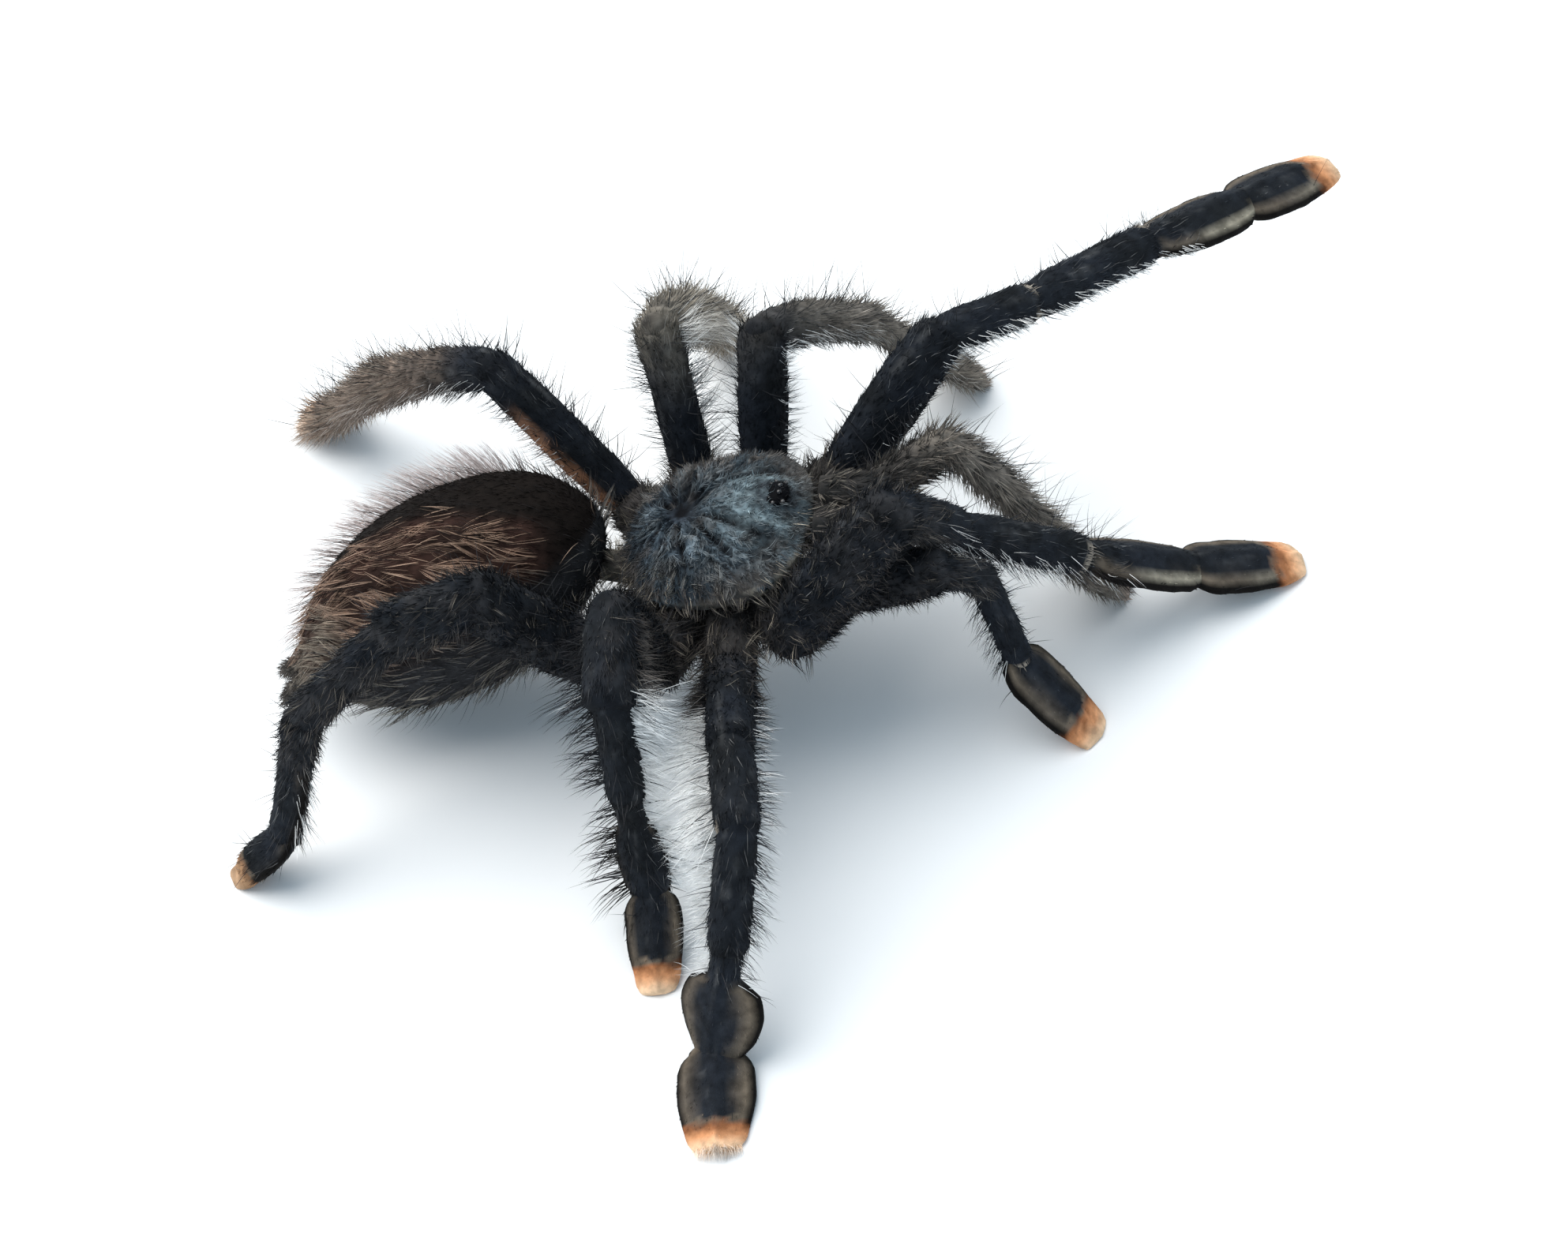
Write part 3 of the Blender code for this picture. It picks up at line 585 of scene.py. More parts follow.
def surface(name, roughness, specular, bump, patchy=0.35):
    """A procedural finish: the mesh's tint, broken up by fine grain and broader patches."""
    made = bpy.data.materials.new(name)
    made.use_nodes = True
    nodes, link = made.node_tree.nodes, made.node_tree.links.new
    shader = set_inputs(nodes["Principled BSDF"], {"Specular IOR Level": specular})
    tint = nodes.new("ShaderNodeVertexColor")
    tint.layer_name = "tint"
    place = nodes.new("ShaderNodeTexCoord")
    fine = set_inputs(nodes.new("ShaderNodeTexNoise"), {"Scale": GRAIN_SCALE, "Detail": 3.0})
    broad = set_inputs(nodes.new("ShaderNodeTexNoise"), {"Scale": PATCH_SCALE, "Detail": 4.0})
    for pattern in (fine, broad):
        link(place.outputs["Object"], pattern.inputs["Vector"])
    limits = {"From Min": 0.3, "From Max": 0.7, "To Min": 1.0 - patchy, "To Max": 1.0 + patchy}
    spread = set_inputs(nodes.new("ShaderNodeMapRange"), limits)
    link(broad.outputs["Fac"], spread.inputs["Value"])
    shade = nodes.new("ShaderNodeMix")
    shade.data_type, shade.blend_type = "RGBA", "MULTIPLY"
    set_inputs(shade, {"Factor": 1.0})
    link(tint.outputs["Color"], shade.inputs["A"])
    link(spread.outputs["Result"], shade.inputs["B"])
    link(shade.outputs["Result"], shader.inputs["Base Color"])
    limits = {"To Min": roughness - 0.1, "To Max": roughness + 0.1}
    rough = set_inputs(nodes.new("ShaderNodeMapRange"), limits)
    link(fine.outputs["Fac"], rough.inputs["Value"])
    link(rough.outputs["Result"], shader.inputs["Roughness"])
    relief = set_inputs(nodes.new("ShaderNodeBump"), {"Strength": bump, "Distance": GRAIN_DEPTH})
    link(fine.outputs["Fac"], relief.inputs["Height"])
    link(relief.outputs["Normal"], shader.inputs["Normal"])
    return made


# Limbs
NAP_DENSITY = 5.5  # hairs to a square millimetre
# The far limbs' outer parts have faded: to what colour, from which segment to which, how much
FADED = {
    "leg_4_left": (BROWN_HAIR, 1.2, 2.8, 1.0),
    "leg_3_left": (FADED_HAIR, 0.4, 1.7, 0.9),
    "leg_2_left": (OLIVE_HAIR, 0.5, 2.6, 0.85),
    "palp_left": (OLIVE_HAIR, 0.0, 1.2, 0.85),
}
# The fringe on either side of each limb, first towards its right seen from the hip: how long, how
# many hairs to a millimetre of limb, and how many of them are pale
FRINGES = {
    "leg_1_left": ((2.0, 12, 0.8), (2.6, 14, 0.15)),
    "leg_2_left": ((2.2, 9, 0.6), (3.2, 12, 0.7)),
    "leg_3_left": ((4.0, 16, 0.85), (2.8, 8, 0.3)),
    "leg_4_left": ((4.2, 7, 0.3), (2.6, 9, 0.35)),
    "palp_left": ((2.2, 8, 0.6), (2.6, 8, 0.4)),
    "leg_1_right": ((2.6, 18, 0.25), (2.4, 8, 0.3)),
    "leg_2_right": ((5.6, 42, 0.97), (2.8, 13, 0.25)),
    "leg_3_right": ((5.6, 9, 0.05), (5.4, 32, 0.97)),
    "leg_4_right": ((4.6, 8, 0.15), (2.5, 12, 0.4)),
    "palp_right": ((2.6, 12, 0.25), (2.4, 9, 0.5)),
}
# Where some limbs' fringes start and where they are full, counted in segments
FRINGE_STARTS = {"leg_3_right": (0.9, 2.0), "leg_1_left": (0.6, 1.2)}
# Where long hair ends, counted in segments, on limbs where that isn't a third along the metatarsus
HAIRY_TO = {"leg_3_right": 4.4, "leg_4_right": 4.8}
# How many of a black limb's lying hairs are pale
STREAKED = {
    "leg_4_right": 0.3, "leg_4_left": 0.45, "leg_3_left": 0.4, "leg_1_left": 0.35,
    "leg_2_right": 0.3, "leg_3_right": 0.2, "leg_1_right": 0.2,
}
# Where matted brown-grey wisps cover a limb, counted in segments, and on which side only if not both
MATTED = {
    "leg_1_right": (0.0, 1.6, 0),
    "leg_2_right": (0.0, 0.5, 0),
    "leg_3_right": (0.0, 1.9, 1),
    "leg_4_right": (0.0, 3.4, 0),
    "palp_right": (0.0, 2.0, 0),
    "leg_1_left": (0.0, 0.2, 0),
    "palp_left": (0.0, 3.0, 0),
}
# How much longer the faded hair of some limbs is
FLUFF = {"leg_3_left": 1.5, "leg_4_left": 1.2}
# Joints that show pale skin
BARE_JOINTS = (
    ("leg_1_right", "tibia"), ("leg_1_left", "patella"), ("leg_1_left", "tibia"),
    ("palp_right", "tibia"), ("leg_2_right", "patella"),
)
# How much of the width of a foot the dark band along its back takes
BAND, BANDS = 0.54, {"leg_3_right": 0.62, "leg_4_right": 0.95, "leg_1_left": 0.66, "leg_1_right": 0.6}
DARK_METATARSI = ("leg_3_right",)  # whose band is wider still there
# Limbs whose pads turn a pale lower side to the right seen from the hip
PALE_PADS = ("leg_1_left", "leg_1_right")
# A toe's colours from its border to its tip
ORANGE_TOE = (seen(140, 86, 54), seen(202, 142, 100), seen(230, 196, 162))
DULL_TOE = (seen(112, 80, 58), seen(156, 122, 92), seen(176, 144, 116))
TAN_TOE = (seen(130, 108, 92), seen(186, 162, 142), seen(228, 208, 192))
GREY_TOE = (seen(112, 107, 100), seen(138, 128, 119), seen(166, 150, 139))
TOES = {
    "leg_4_left": TAN_TOE,
    "leg_3_left": TAN_TOE,
    "leg_2_left": GREY_TOE,
    "palp_left": GREY_TOE,
    "leg_4_right": DULL_TOE,
}
TOE_START = {"leg_1": 0.76, "leg_2": 0.8, "leg_3": 0.76, "leg_4": 0.68, "palp": 0.76, "leg_4_left": 0.5}
FUZZY_TOES, TOE_HAIRS = ("leg_2_right",), 300
GROUND_CLEARANCE = 0.02  # between the ground and any skin


def faded(limb, segment, marks):
    """How far each spot of a limb has lost its black."""
    if limb not in FADED:
        return np.zeros(len(marks["along"]))
    _, start, full, most = FADED[limb]
    return most * ramp(start, full, LEG_SEGMENTS.index(segment) + marks["along"])


def limb_tint(limb, segment, marks, points):
    """The skin's colour, and the ground colour of its hair."""
    along, across, height = marks["along"], marks["across"], marks["height"]
    patches = noise(points + 40.0, 2.2)
    colour = mix(VELVET, VELVET_BLUE, noise(points, 3.0))
    drawn_out = np.stack([across * 5.0, along * 4.0, height * 5.0], 1)
    lengthwise = noise(drawn_out + 7.0 * LEG_SEGMENTS.index(segment), 1.0)
    worn = ramp(0.55, 0.9, lengthwise) * (0.05 + 0.5 * STREAKED.get(limb, 0.1))
    colour = mix(colour, STREAK, worn * ramp(0.3, 0.6, noise(points + 21.0, 0.8)))
    colour = colour * (1.0 - 0.35 * ramp(0.96, 1.0, along) - 0.3 * ramp(0.04, 0.0, along))[:, None]
    if (limb, segment) in BARE_JOINTS:
        at_joint = ramp(0.985, 1.0, along) * ramp(1.05, 1.03, along)
        colour = mix(colour, MEMBRANE, 0.8 * at_joint * ramp(0.46, 0.54, patches))
    if segment in ("metatarsus", "tarsus"):
        colour = pad_tint(limb, segment, marks, colour, patches)
    mat = matted(limb, segment, marks) * ramp(0.3, 0.7, noise(points + 80.0, 1.4))
    colour = mix(colour, UNDER * 1.2, 0.85 * mat)
    share = faded(limb, segment, marks)
    if limb in FADED:
        colour = mix(colour, FADED[limb][0], share * (0.45 + 0.55 * ramp(0.25, 0.65, noise(points, 1.7))))
    if segment == "tarsus":
        deep, middle, light = TOES.get(limb, ORANGE_TOE)
        start = TOE_START.get(limb, TOE_START[limb_kind(limb)]) + 0.1 * (noise(points, 0.5) - 0.5)
        toe = mix(deep, middle, ramp(start, start + 0.13, along))
        toe = mix(toe, light, ramp(start + 0.1, 1.06, along))
        colour = mix(colour, toe, ramp(start - 0.05, start + 0.05, along))
    if limb == "leg_4_left" and segment == "femur":
        low_edge = ramp(0.45, 0.65, across) * ramp(0.45, 0.2, height)
        rusty = low_edge * ramp(0.85, 0.6, along) * ramp(0.25, 0.5, lengthwise)
        colour = mix(colour, RUST, rusty)
    return colour


def pad_tint(limb, segment, marks, colour, patches):
    """Adds a pad's olive sides with their fine streaks, beside the dark band, and a thin dark line of painted
    shade along its edge, where it turns under.
    """
    along, across, height = marks["along"], marks["across"], marks["height"]
    start = PAD_STARTS.get(limb_kind(limb), PAD_START) if segment == "metatarsus" else -0.2
    on_pad = ramp(start, start + 0.08, along)
    half_band = BANDS.get(limb, BAND) + 0.1 * (patches - 0.5)
    if segment == "metatarsus" and limb in DARK_METATARSI:
        half_band += 0.3
    streak = noise(np.stack([across * 9.0, along * 2.5, height * 3.0], 1) + 60.0, 1.0)
    if segment == "tarsus":
        band_end = ramp(0.0, 0.1, along - TOE_START[limb_kind(limb)] + 0.1 + 0.1 * (streak - 0.5))
        half_band = half_band * (1.0 - band_end)
    beside = ramp(half_band - 0.08, half_band + 0.1, np.abs(across) + 0.1 * (streak - 0.5))
    side = PAD
    if limb in PALE_PADS:
        paler = (0.4 if segment == "tarsus" else 1.0) * ramp(0.3, 0.6, along)
        side = mix(PAD, PAD_PALE, ramp(-0.6, -0.72, across) * paler)
    colour = mix(colour, side, beside * on_pad * (0.35 + 0.65 * streak))
    # Painted shade: a thin dark line along the pad's edge, where it turns under
    return mix(colour, PAD_EDGE_SHADE, ramp(0.9, 0.96, np.abs(across)) * on_pad)


def whole(marks):
    """1 on a segment's own length, falling to 0 on the round ends hidden in its neighbours."""
    return ramp(-0.12, -0.02, marks["along"]) * ramp(1.1, 1.0, marks["along"])


def bare(limb, segment, marks):
    """How free of long hair each spot is: the pads carry only their nap, unless faded."""
    if limb in FADED:
        return np.zeros(len(marks["along"]))
    place = LEG_SEGMENTS.index(segment) + marks["along"]
    end = HAIRY_TO.get(limb, 3.3)
    return ramp(end - 0.05, end + 0.1, place)


def nap(limb, segment, skin, rng):
    """A short nap, flat on black parts and pads, longer and fluffier where the coat has faded."""
    spots = skin.scatter(int(skin.areas.sum() * NAP_DENSITY), 0.3 + 0.7 * whole(skin.marks), rng)
    ground = limb_tint(limb, segment, spots, spots["point"])
    fade, smooth = faded(limb, segment, spots), bare(limb, segment, spots)
    mat = matted(limb, segment, spots)
    length = 0.65 + 1.0 * fade * FLUFF.get(limb, 1.0) - 0.35 * smooth + 0.6 * mat
    if segment == "tarsus":
        length = length * (1.0 - 0.55 * ramp(0.6, 0.95, spots["along"]))
    rise = (0.2 + 0.5 * fade + 0.35 * mat)[:, None]
    root, tip = vary(ground * 0.8, rng, 0.35), vary(ground * 1.1, rng, 0.45)
    return hair(spots, rng, length, 0.07, rise, 1.0, 0.25, 0.3, root, tip, 1)


def covered(skin, weight):
    """How many square millimetres of a skin its weights amount to."""
    return skin.weighed(weight).sum()


def matted(limb, segment, marks):
    """How far each spot of a limb is covered with brown-grey wisps."""
    if limb not in MATTED:
        return np.zeros(len(marks["along"]))
    start, end, side = MATTED[limb]
    place = LEG_SEGMENTS.index(segment) + marks["along"]
    shown = ramp(start - 0.3, start, place) * ramp(end + 0.15, end - 0.15, place)
    return shown * ramp(-0.3, 0.4, side * marks["across"]) if side else shown


def wisps(limb, segment, skin, rng):
    """Curly brown-grey wisps, some of them pale, matted over the inner parts of some limbs."""
    cover = matted(limb, segment, skin.marks) * whole(skin.marks)
    cover *= 0.3 + 0.7 * ramp(-0.6, 0.2, skin.marks["height"])
    count = int(covered(skin, cover) * 2.4)
    if not count:
        return []
    spots = skin.scatter(count, cover + 1e-7, rng)
    brown = mix(UNDER, TAN, 0.8 * rng.random(count))
    tip = mix(brown, TAN_PALE * 0.75, (rng.random(count) < 0.25) * rng.random(count))
    return [hair(spots, rng, 1.7, 0.05, 0.4, 0.7, 0.6, 0.3, brown * 0.7, vary(tip, rng, 0.2), 2, (5, 0.8))]


def lying_hair(limb, segment, skin, rng):
    """Longer hair in small wisps along the limb's back, few of them pale."""
    marks = skin.marks
    shown = whole(marks) * (0.3 + 0.7 * ramp(-0.6, 0.4, marks["height"])) * (1.0 - bare(limb, segment, marks))
    count = int(covered(skin, shown) * 1.9) + 1
    spots = skin.scatter(count, shown + 1e-9, rng)
    ground = limb_tint(limb, segment, spots, spots["point"])
    fade = faded(limb, segment, spots)
    pale = (rng.random(count) < STREAKED.get(limb, 0.05) + 0.3 * fade) * rng.random(count) ** 0.5
    tip = mix(ground * 1.15, mix(STREAK, FADED_HAIR, fade), 0.9 * pale)
    root = mix(ground * 0.8, tip, 0.7 * pale)
    rise = (0.25 + 0.6 * fade)[:, None]
    length = 1.5 + 1.3 * fade * FLUFF.get(limb, 1.0)
    if segment == "tarsus":
        length = length * (1.0 - 0.6 * ramp(0.5, 0.9, spots["along"]))
    return hair(spots, rng, length, 0.044, rise, 1.0, 0.22, 0.35, root, vary(tip, rng, 0.3), 2, (4, 0.6))


def fringe(limb, segment, skin, rng, sign, length, density, pale_share):
    """Hair that stands out beside the limb, fanned a little and drooping towards its foot."""
    marks = skin.marks
    beside = ramp(0.5, 0.85, sign * marks["across"]) * ramp(0.2, -0.15, marks["height"])
    inside = ramp(-0.02, 0.06, marks["along"]) * ramp(1.02, 0.94, marks["along"])
    shown = beside * inside * (1.0 - bare(limb, segment, marks))
    share = covered(skin, shown) / covered(skin, beside * inside)
    count = int(np.ptp(skin.points @ skin.flow[0]) * density * share) + 1
    spots = skin.scatter(count, shown + 1e-9, rng)
    sideways = unit(np.cross([0.0, 0.0, 1.0], skin.flow[0])) * sign
    spots["normal"] = unit(0.5 * spots["normal"] + sideways)
    ground = limb_tint(limb, segment, spots, spots["point"])
    mat = matted(limb, segment, spots)
    place = LEG_SEGMENTS.index(segment) + spots["along"]
    grown = ramp(*FRINGE_STARTS[limb], place) if limb in FRINGE_STARTS else np.ones(count)
    pale = rng.random(count) < pale_share * (1.0 - 0.6 * mat) * (0.2 + 0.8 * grown)
    light = mix(mix(FRINGE_PALE, BRISTLE_TIP, rng.random(count)), TAN * 1.3, mat)
    if limb in FADED:
        light = mix(light, FADED[limb][0] * 1.3, 0.7 * faded(limb, segment, spots))
    dark = mix(ground, mix(FRINGE_DARK, TAN, mat), 0.5 + 0.5 * rng.random(count))
    tip = mix(dark, light, pale)
    root = mix(ground, light, 0.85 * pale)
    shorter = (1.0 - 0.4 * ramp(1.8, 3.2, place) * (pale_share > 0.5)) * (1.0 - 0.35 * mat)
    shorter *= 0.35 + 0.65 * grown
    long = length * (0.4 + 0.7 * rng.random(count) ** 0.6) * shorter
    thick = 0.034 + 0.02 * (1.0 - pale) * (length > 4.0)
    spread = (0.26 + 0.2 * mat)[:, None]
    return hair(spots, rng, long, thick, 1.0, 0.3, spread, 0.5, root, vary(tip, rng, 0.12), 3, (5, 0.5))


def bristles(limb, segment, skin, rng):
    """A few long fine bristles standing on the back."""
    marks = skin.marks
    shown = whole(marks) * ramp(-0.2, 0.5, marks["height"]) * (1.0 - bare(limb, segment, marks))
    count = int(covered(skin, shown) * (0.6 if limb in FADED else 0.25)) + 1
    spots = skin.scatter(count, shown + 1e-9, rng)
    length = 4.6 if limb in FADED else 3.2
    tip = mix(VELVET * 1.5, FRINGE_DARK * 1.6, rng.random(count))
    return hair(spots, rng, length, 0.038, 1.0, 0.1, 0.25, 0.3, VELVET * 1.5, tip, 3)


def toe_fuzz(limb, skin, rng):
    """Fine whitish fuzz beyond the tip of the foot."""
    at_tip = ramp(1.0, 1.04, skin.marks["along"]) * ramp(-1.2, -0.2, skin.marks["height"])
    spots = skin.scatter(TOE_HAIRS, at_tip + 1e-9, rng)
    return hair(spots, rng, 1.1, 0.022, 0.4, 1.0, 0.3, 0.3, ORANGE_TOE[2], FRINGE_PALE, 2)


def limb_hair(limb, segment, skin, rng):
    """The coat of one segment."""
    coats = [coat(limb, segment, skin, rng) for coat in (nap, lying_hair, bristles)]
    coats += wisps(limb, segment, skin, rng)
    if segment != "tarsus" or limb in FADED:
        for sign, (length, density, pale_share) in zip((-1.0, 1.0), FRINGES[limb]):
            coats.append(fringe(limb, segment, skin, rng, sign, length, density, pale_share))
    elif limb in FUZZY_TOES:
        coats.append(toe_fuzz(limb, skin, rng))
    return coats


def make_limb(limb, skin_surface, hair_surface):
    kind = limb_kind(limb)
    rng = np.random.default_rng(sum(map(ord, limb)))
    points, angles = limb_layout(limb)
    coats = []
    for number, segment in enumerate(PALP_SEGMENTS if kind == "palp" else LEG_SEGMENTS):
        skin = segment_skin(limb, number, segment, points[number], angles[number])
        lumps = noise(skin.points, 1.5) + 0.5 * noise(skin.points + 9.0, 0.7)
        skin.points += skin.normals * (0.16 * (lumps - 0.75))[:, None]
        skin.points[:, 2] = np.maximum(skin.points[:, 2], GROUND_CLEARANCE)
        part = skin.painted(limb_tint(limb, segment, skin.marks, skin.points))
        slot = "foot" if segment == "tarsus" else "velvet"
        make_piece(f"{limb}_{segment}_skin", [part], skin_surface, slot, f"{limb}_{segment}")
        coats += limb_hair(limb, segment, skin, rng)
    make_piece(f"{limb}_hair", coats, hair_surface, "velvet", smooth=False)


# The shield
SHIELD_SPOKES, SHIELD_RINGS = 216, 60
# The furrows that run out from the pit on either side: compass angle, width, where each starts and
# ends as shares of the way to the rim, and how much it widens on its way. The first pair parts the
# head from the rest.
FURROWS = (
    (36, 0.045, 0.08, 1.0, 2.6),
    (66, 0.03, 0.1, 0.85, 0.0),
    (98, 0.03, 0.1, 0.85, 0.0),
    (126, 0.03, 0.1, 0.85, 0.0),
    (154, 0.03, 0.1, 0.8, 0.0),
)
FURROW_DEPTH = 0.6
BROAD_STREAKS, FINE_STREAKS = 9.0, 22.0
SHIELD_NAP, SHIELD_TUFTS, RIM_HAIRS, MOUND_HAIRS = 6500, 1300, 1300, 200
# The eyes on one side: how far out and ahead on their mound, size, and whether pearly
EYES = ((0.4, 0.6, 0.28, False), (1.12, 0.85, 0.2, True), (0.85, -0.3, 0.16, False), (1.3, 0.0, 0.18, True))


def shield_outline(angle):
    middle, half = (SHIELD_FRONT + SHIELD_REAR) / 2, (SHIELD_FRONT - SHIELD_REAR) / 2
    ahead = np.cos(angle)
    power = np.where(ahead > 0, HEAD_BLUNTNESS, 1.0)
    x = np.sign(ahead) * np.abs(ahead) ** power * half
    return middle + x, np.sin(angle) * SHIELD_HALF_WIDTH


def shield_height(x, y, share):
    dome = SHIELD_DOME * np.maximum(0.0, 1.0 - share ** DOME_POWERS[0]) ** DOME_POWERS[1]
    head = np.exp(-(((x - HEAD_X) / HEAD_SPREAD[0]) ** 2) - (y / HEAD_SPREAD[1]) ** 2)
    pit = np.exp(-((share / FOVEA_SPREAD) ** 2))
    return SHIELD_RIM + dome + HEAD_RISE * head - FOVEA_DEPTH * pit


def furrow(angle, share):
    """How deep in a furrow each spot is, from 0 to 1. A furrow keeps its width on its way out."""
    depth = np.zeros_like(angle)
    for middle, width, start, end, widening in FURROWS:
        for sign in (1.0, -1.0):
            wide = width * (1.0 + widening * share**3) * (1.7 if sign > 0 else 1.0)
            off = np.abs((angle - sign * math.radians(middle) + math.pi) % math.tau - math.pi)
            line = np.exp(-((off * (share + 0.12) / wide) ** 2))
            depth = np.maximum(depth, line * ramp(start, start + 0.1, share) * ramp(end, end - 0.2, share))
    return depth


def streaks(cosine, sine, share, fineness):
    """Streaks from 0 to 1 that run out from the pit."""
    spots = np.stack([cosine * fineness, sine * fineness, share * 2.6 + 7.0 * fineness], -1)
    return ramp(0.25, 0.75, noise(spots, 1.0))


def shield_skin():
    angle = np.tile(np.arange(SHIELD_SPOKES) * math.tau / SHIELD_SPOKES, SHIELD_RINGS)
    share = np.repeat(np.linspace(0.02, 1.0, SHIELD_RINGS), SHIELD_SPOKES) ** 0.8
    rim_x, rim_y = shield_outline(angle)
    x, y = FOVEA_X + (rim_x - FOVEA_X) * share, rim_y * share
    deep = furrow(angle, share)
    flat = np.stack([x, y, 0.0 * x], 1)
    uneven = 0.4 + 0.75 * noise(flat + 23.0, 1.6) + 0.4 * ramp(0.0, 0.4, np.sin(angle))
    deep = np.minimum(1.0, deep * uneven)
    angle = angle + 0.55 * (noise(flat + 31.0, 2.6) - 0.5) + 0.3 * (noise(flat + 47.0, 1.1) - 0.5)
    cosine, sine = np.cos(angle), np.sin(angle)
    relief = 0.34 * (streaks(cosine, sine, share, BROAD_STREAKS) - 0.5)
    relief += 0.2 * (streaks(cosine, sine, share, FINE_STREAKS) - 0.5)
    relief *= ramp(0.08, 0.3, share) * ramp(1.0, 0.9, share)
    relief += 0.3 * (noise(flat + 5.0, 1.8) - 0.5)
    z = shield_height(x, y, share) - FURROW_DEPTH * deep + relief
    top = np.stack([x, y, z], 1)
    rim = top[-SHIELD_SPOKES:]
    skirts = [rim * (1.0 - 0.01 * k, 1.0 - 0.01 * k, 1.0 - k / 4) for k in range(1, 5)]
    pit = np.array([FOVEA_X, 0.0, shield_height(FOVEA_X, 0.0, 0.0)])
    points = np.concatenate([top, *skirts, [pit], [[FOVEA_X, 0.0, 0.0]]])
    flow = points - pit
    flow[:, 2] *= 0.5
    flow = unit(flow + np.array([0.0, 0.0, 1e-3]))
    around = np.tile(angle[-SHIELD_SPOKES:], len(skirts))
    marks = {
        "share": np.concatenate([share, 0 * around + 1.0, [0.0, 1.0]]),
        "deep": np.concatenate([deep, 0 * around, [1.0, 0.0]]),
        "cosine": np.concatenate([cosine, np.cos(around), [0.0, 0.0]]),
        "sine": np.concatenate([sine, np.sin(around), [0.0, 0.0]]),
        "head": np.exp(-(((points[:, 0] - HEAD_X - 0.5) / 3.8) ** 2) - (points[:, 1] / 4.6) ** 2),
        "eyes": np.exp(-(((points[:, 0] - EYE_X) / 1.7) ** 4) - (points[:, 1] / 1.8) ** 4),
    }
    faces = tube_faces(SHIELD_RINGS + len(skirts), SHIELD_SPOKES)[:, ::-1]
    placed = body_place(points)
    return Skin(placed, faces, unit(body_place(points + flow) - placed), marks)


def shield_tint(marks, points):
    """Dark grey-blue with paler streaks, a smoother paler head, and a brown rim."""
    share, head = marks["share"], marks["head"]
    broad = streaks(marks["cosine"], marks["sine"], share, BROAD_STREAKS)
    fine = streaks(marks["cosine"], marks["sine"], share, FINE_STREAKS)
    pale = ramp(0.08, 0.35, share) * (0.1 + 0.5 * broad + 0.5 * fine * (1.0 - head))
    colour = mix(SHIELD, SHIELD_HAIR, np.clip(pale, 0.0, 1.0))
    colour = mix(colour, SHIELD_HEAD, 0.9 * head * (0.5 + 0.5 * fine))
    far_side = ramp(-0.1, 0.5, marks["sine"])
    colour = colour * (1.0 - 0.35 * far_side * (1.0 - head))[:, None]
    colour = mix(colour, SHIELD_HAIR_PALE, 0.35 * ramp(0.5, 1.0, broad * fine) * ramp(0.15, 0.4, share))
    ridge = ramp(0.2, 0.6, marks["sine"]) * ramp(0.35, 0.7, share) * ramp(0.45, 0.65, broad)
    colour = mix(colour, RIM_BROWN * 1.6, 0.7 * ridge * (1.0 - head))
    colour = mix(colour, RIM_BROWN * 0.8, 0.5 * ramp(0.5, 0.8, noise(points + 63.0, 0.9)) * (1.0 - head))
    grain = ramp(0.25, 0.75, noise(points + 90.0, 0.35))
    colour = colour * (0.45 + 0.7 * grain + 0.4 * fine)[:, None]
    colour = mix(colour, SHIELD_GROOVE, np.clip(marks["deep"] * 0.9 + ramp(0.1, 0.04, share), 0.0, 1.0))
    brown = ramp(0.72, 0.95, share) * ramp(0.35, 0.6, noise(points, 1.3)) * (1.0 - head)
    colour = mix(colour, RIM_BROWN, 0.75 * brown)
    colour = mix(colour, EYE_PURPLE, 0.7 * marks["eyes"])
    near_front = ramp(-0.3, -0.45, marks["sine"]) * ramp(0.15, 0.3, marks["cosine"])
    broken = ramp(0.3, 0.6, noise(points + 3.0, 1.2))
    lit_edge = ramp(0.982, 0.992, share) * broken * (0.2 + 0.6 * near_front)
    return mix(colour, TAN_PALE, np.clip(lit_edge, 0.0, 0.8))


def shield_nap(skin, rng):
    """Short hair that lies flat, away from the pit."""
    share = skin.marks["share"]
    shown = ramp(0.08, 0.2, share) * ramp(1.0, 0.95, share) * (1.0 - 0.9 * skin.marks["deep"])
    spots = skin.scatter(SHIELD_NAP, shown * (1.0 - 0.4 * skin.marks["head"]) + 1e-6, rng)
    ground = shield_tint(spots, spots["point"])
    root, tip = vary(ground * 0.8, rng, 0.35), vary(ground * 1.1, rng, 0.5)
    return hair(spots, rng, 0.75, 0.055, 0.15, 1.0, 0.45, 0.0, root, tip, 1)


def shield_tufts(skin, rng):
    """Paler curly tufts on the crests between the furrows, brown and looser towards the near rim."""
    marks = skin.marks
    crest = ramp(0.5, 0.9, streaks(marks["cosine"], marks["sine"], marks["share"], BROAD_STREAKS))
    far = ramp(0.1, 0.6, marks["sine"]) * ramp(0.6, 0.8, marks["share"])
    inside = ramp(0.12, 0.3, marks["share"]) * ramp(0.98, 0.85, marks["share"]) * (1.0 - far)
    shown = crest * inside * (1.0 - marks["deep"]) * (1.0 - 0.9 * marks["head"])
    spots = skin.scatter(SHIELD_TUFTS, shown + 1e-6, rng)
    ground = shield_tint(spots, spots["point"])
    outer = ramp(0.55, 0.85, spots["share"]) * ramp(0.5, -0.3, spots["cosine"])
    light = mix(SHIELD_HAIR_PALE, TAN_PALE * 0.8, outer)
    tip = mix(ground, light, 0.25 + 0.5 * rng.random(SHIELD_TUFTS))
    length = 1.2 + 0.5 * outer
    return hair(spots, rng, length, 0.05, 0.08, 1.0, 0.4, -0.5, ground * 0.9, tip, 3, (5, 0.85))


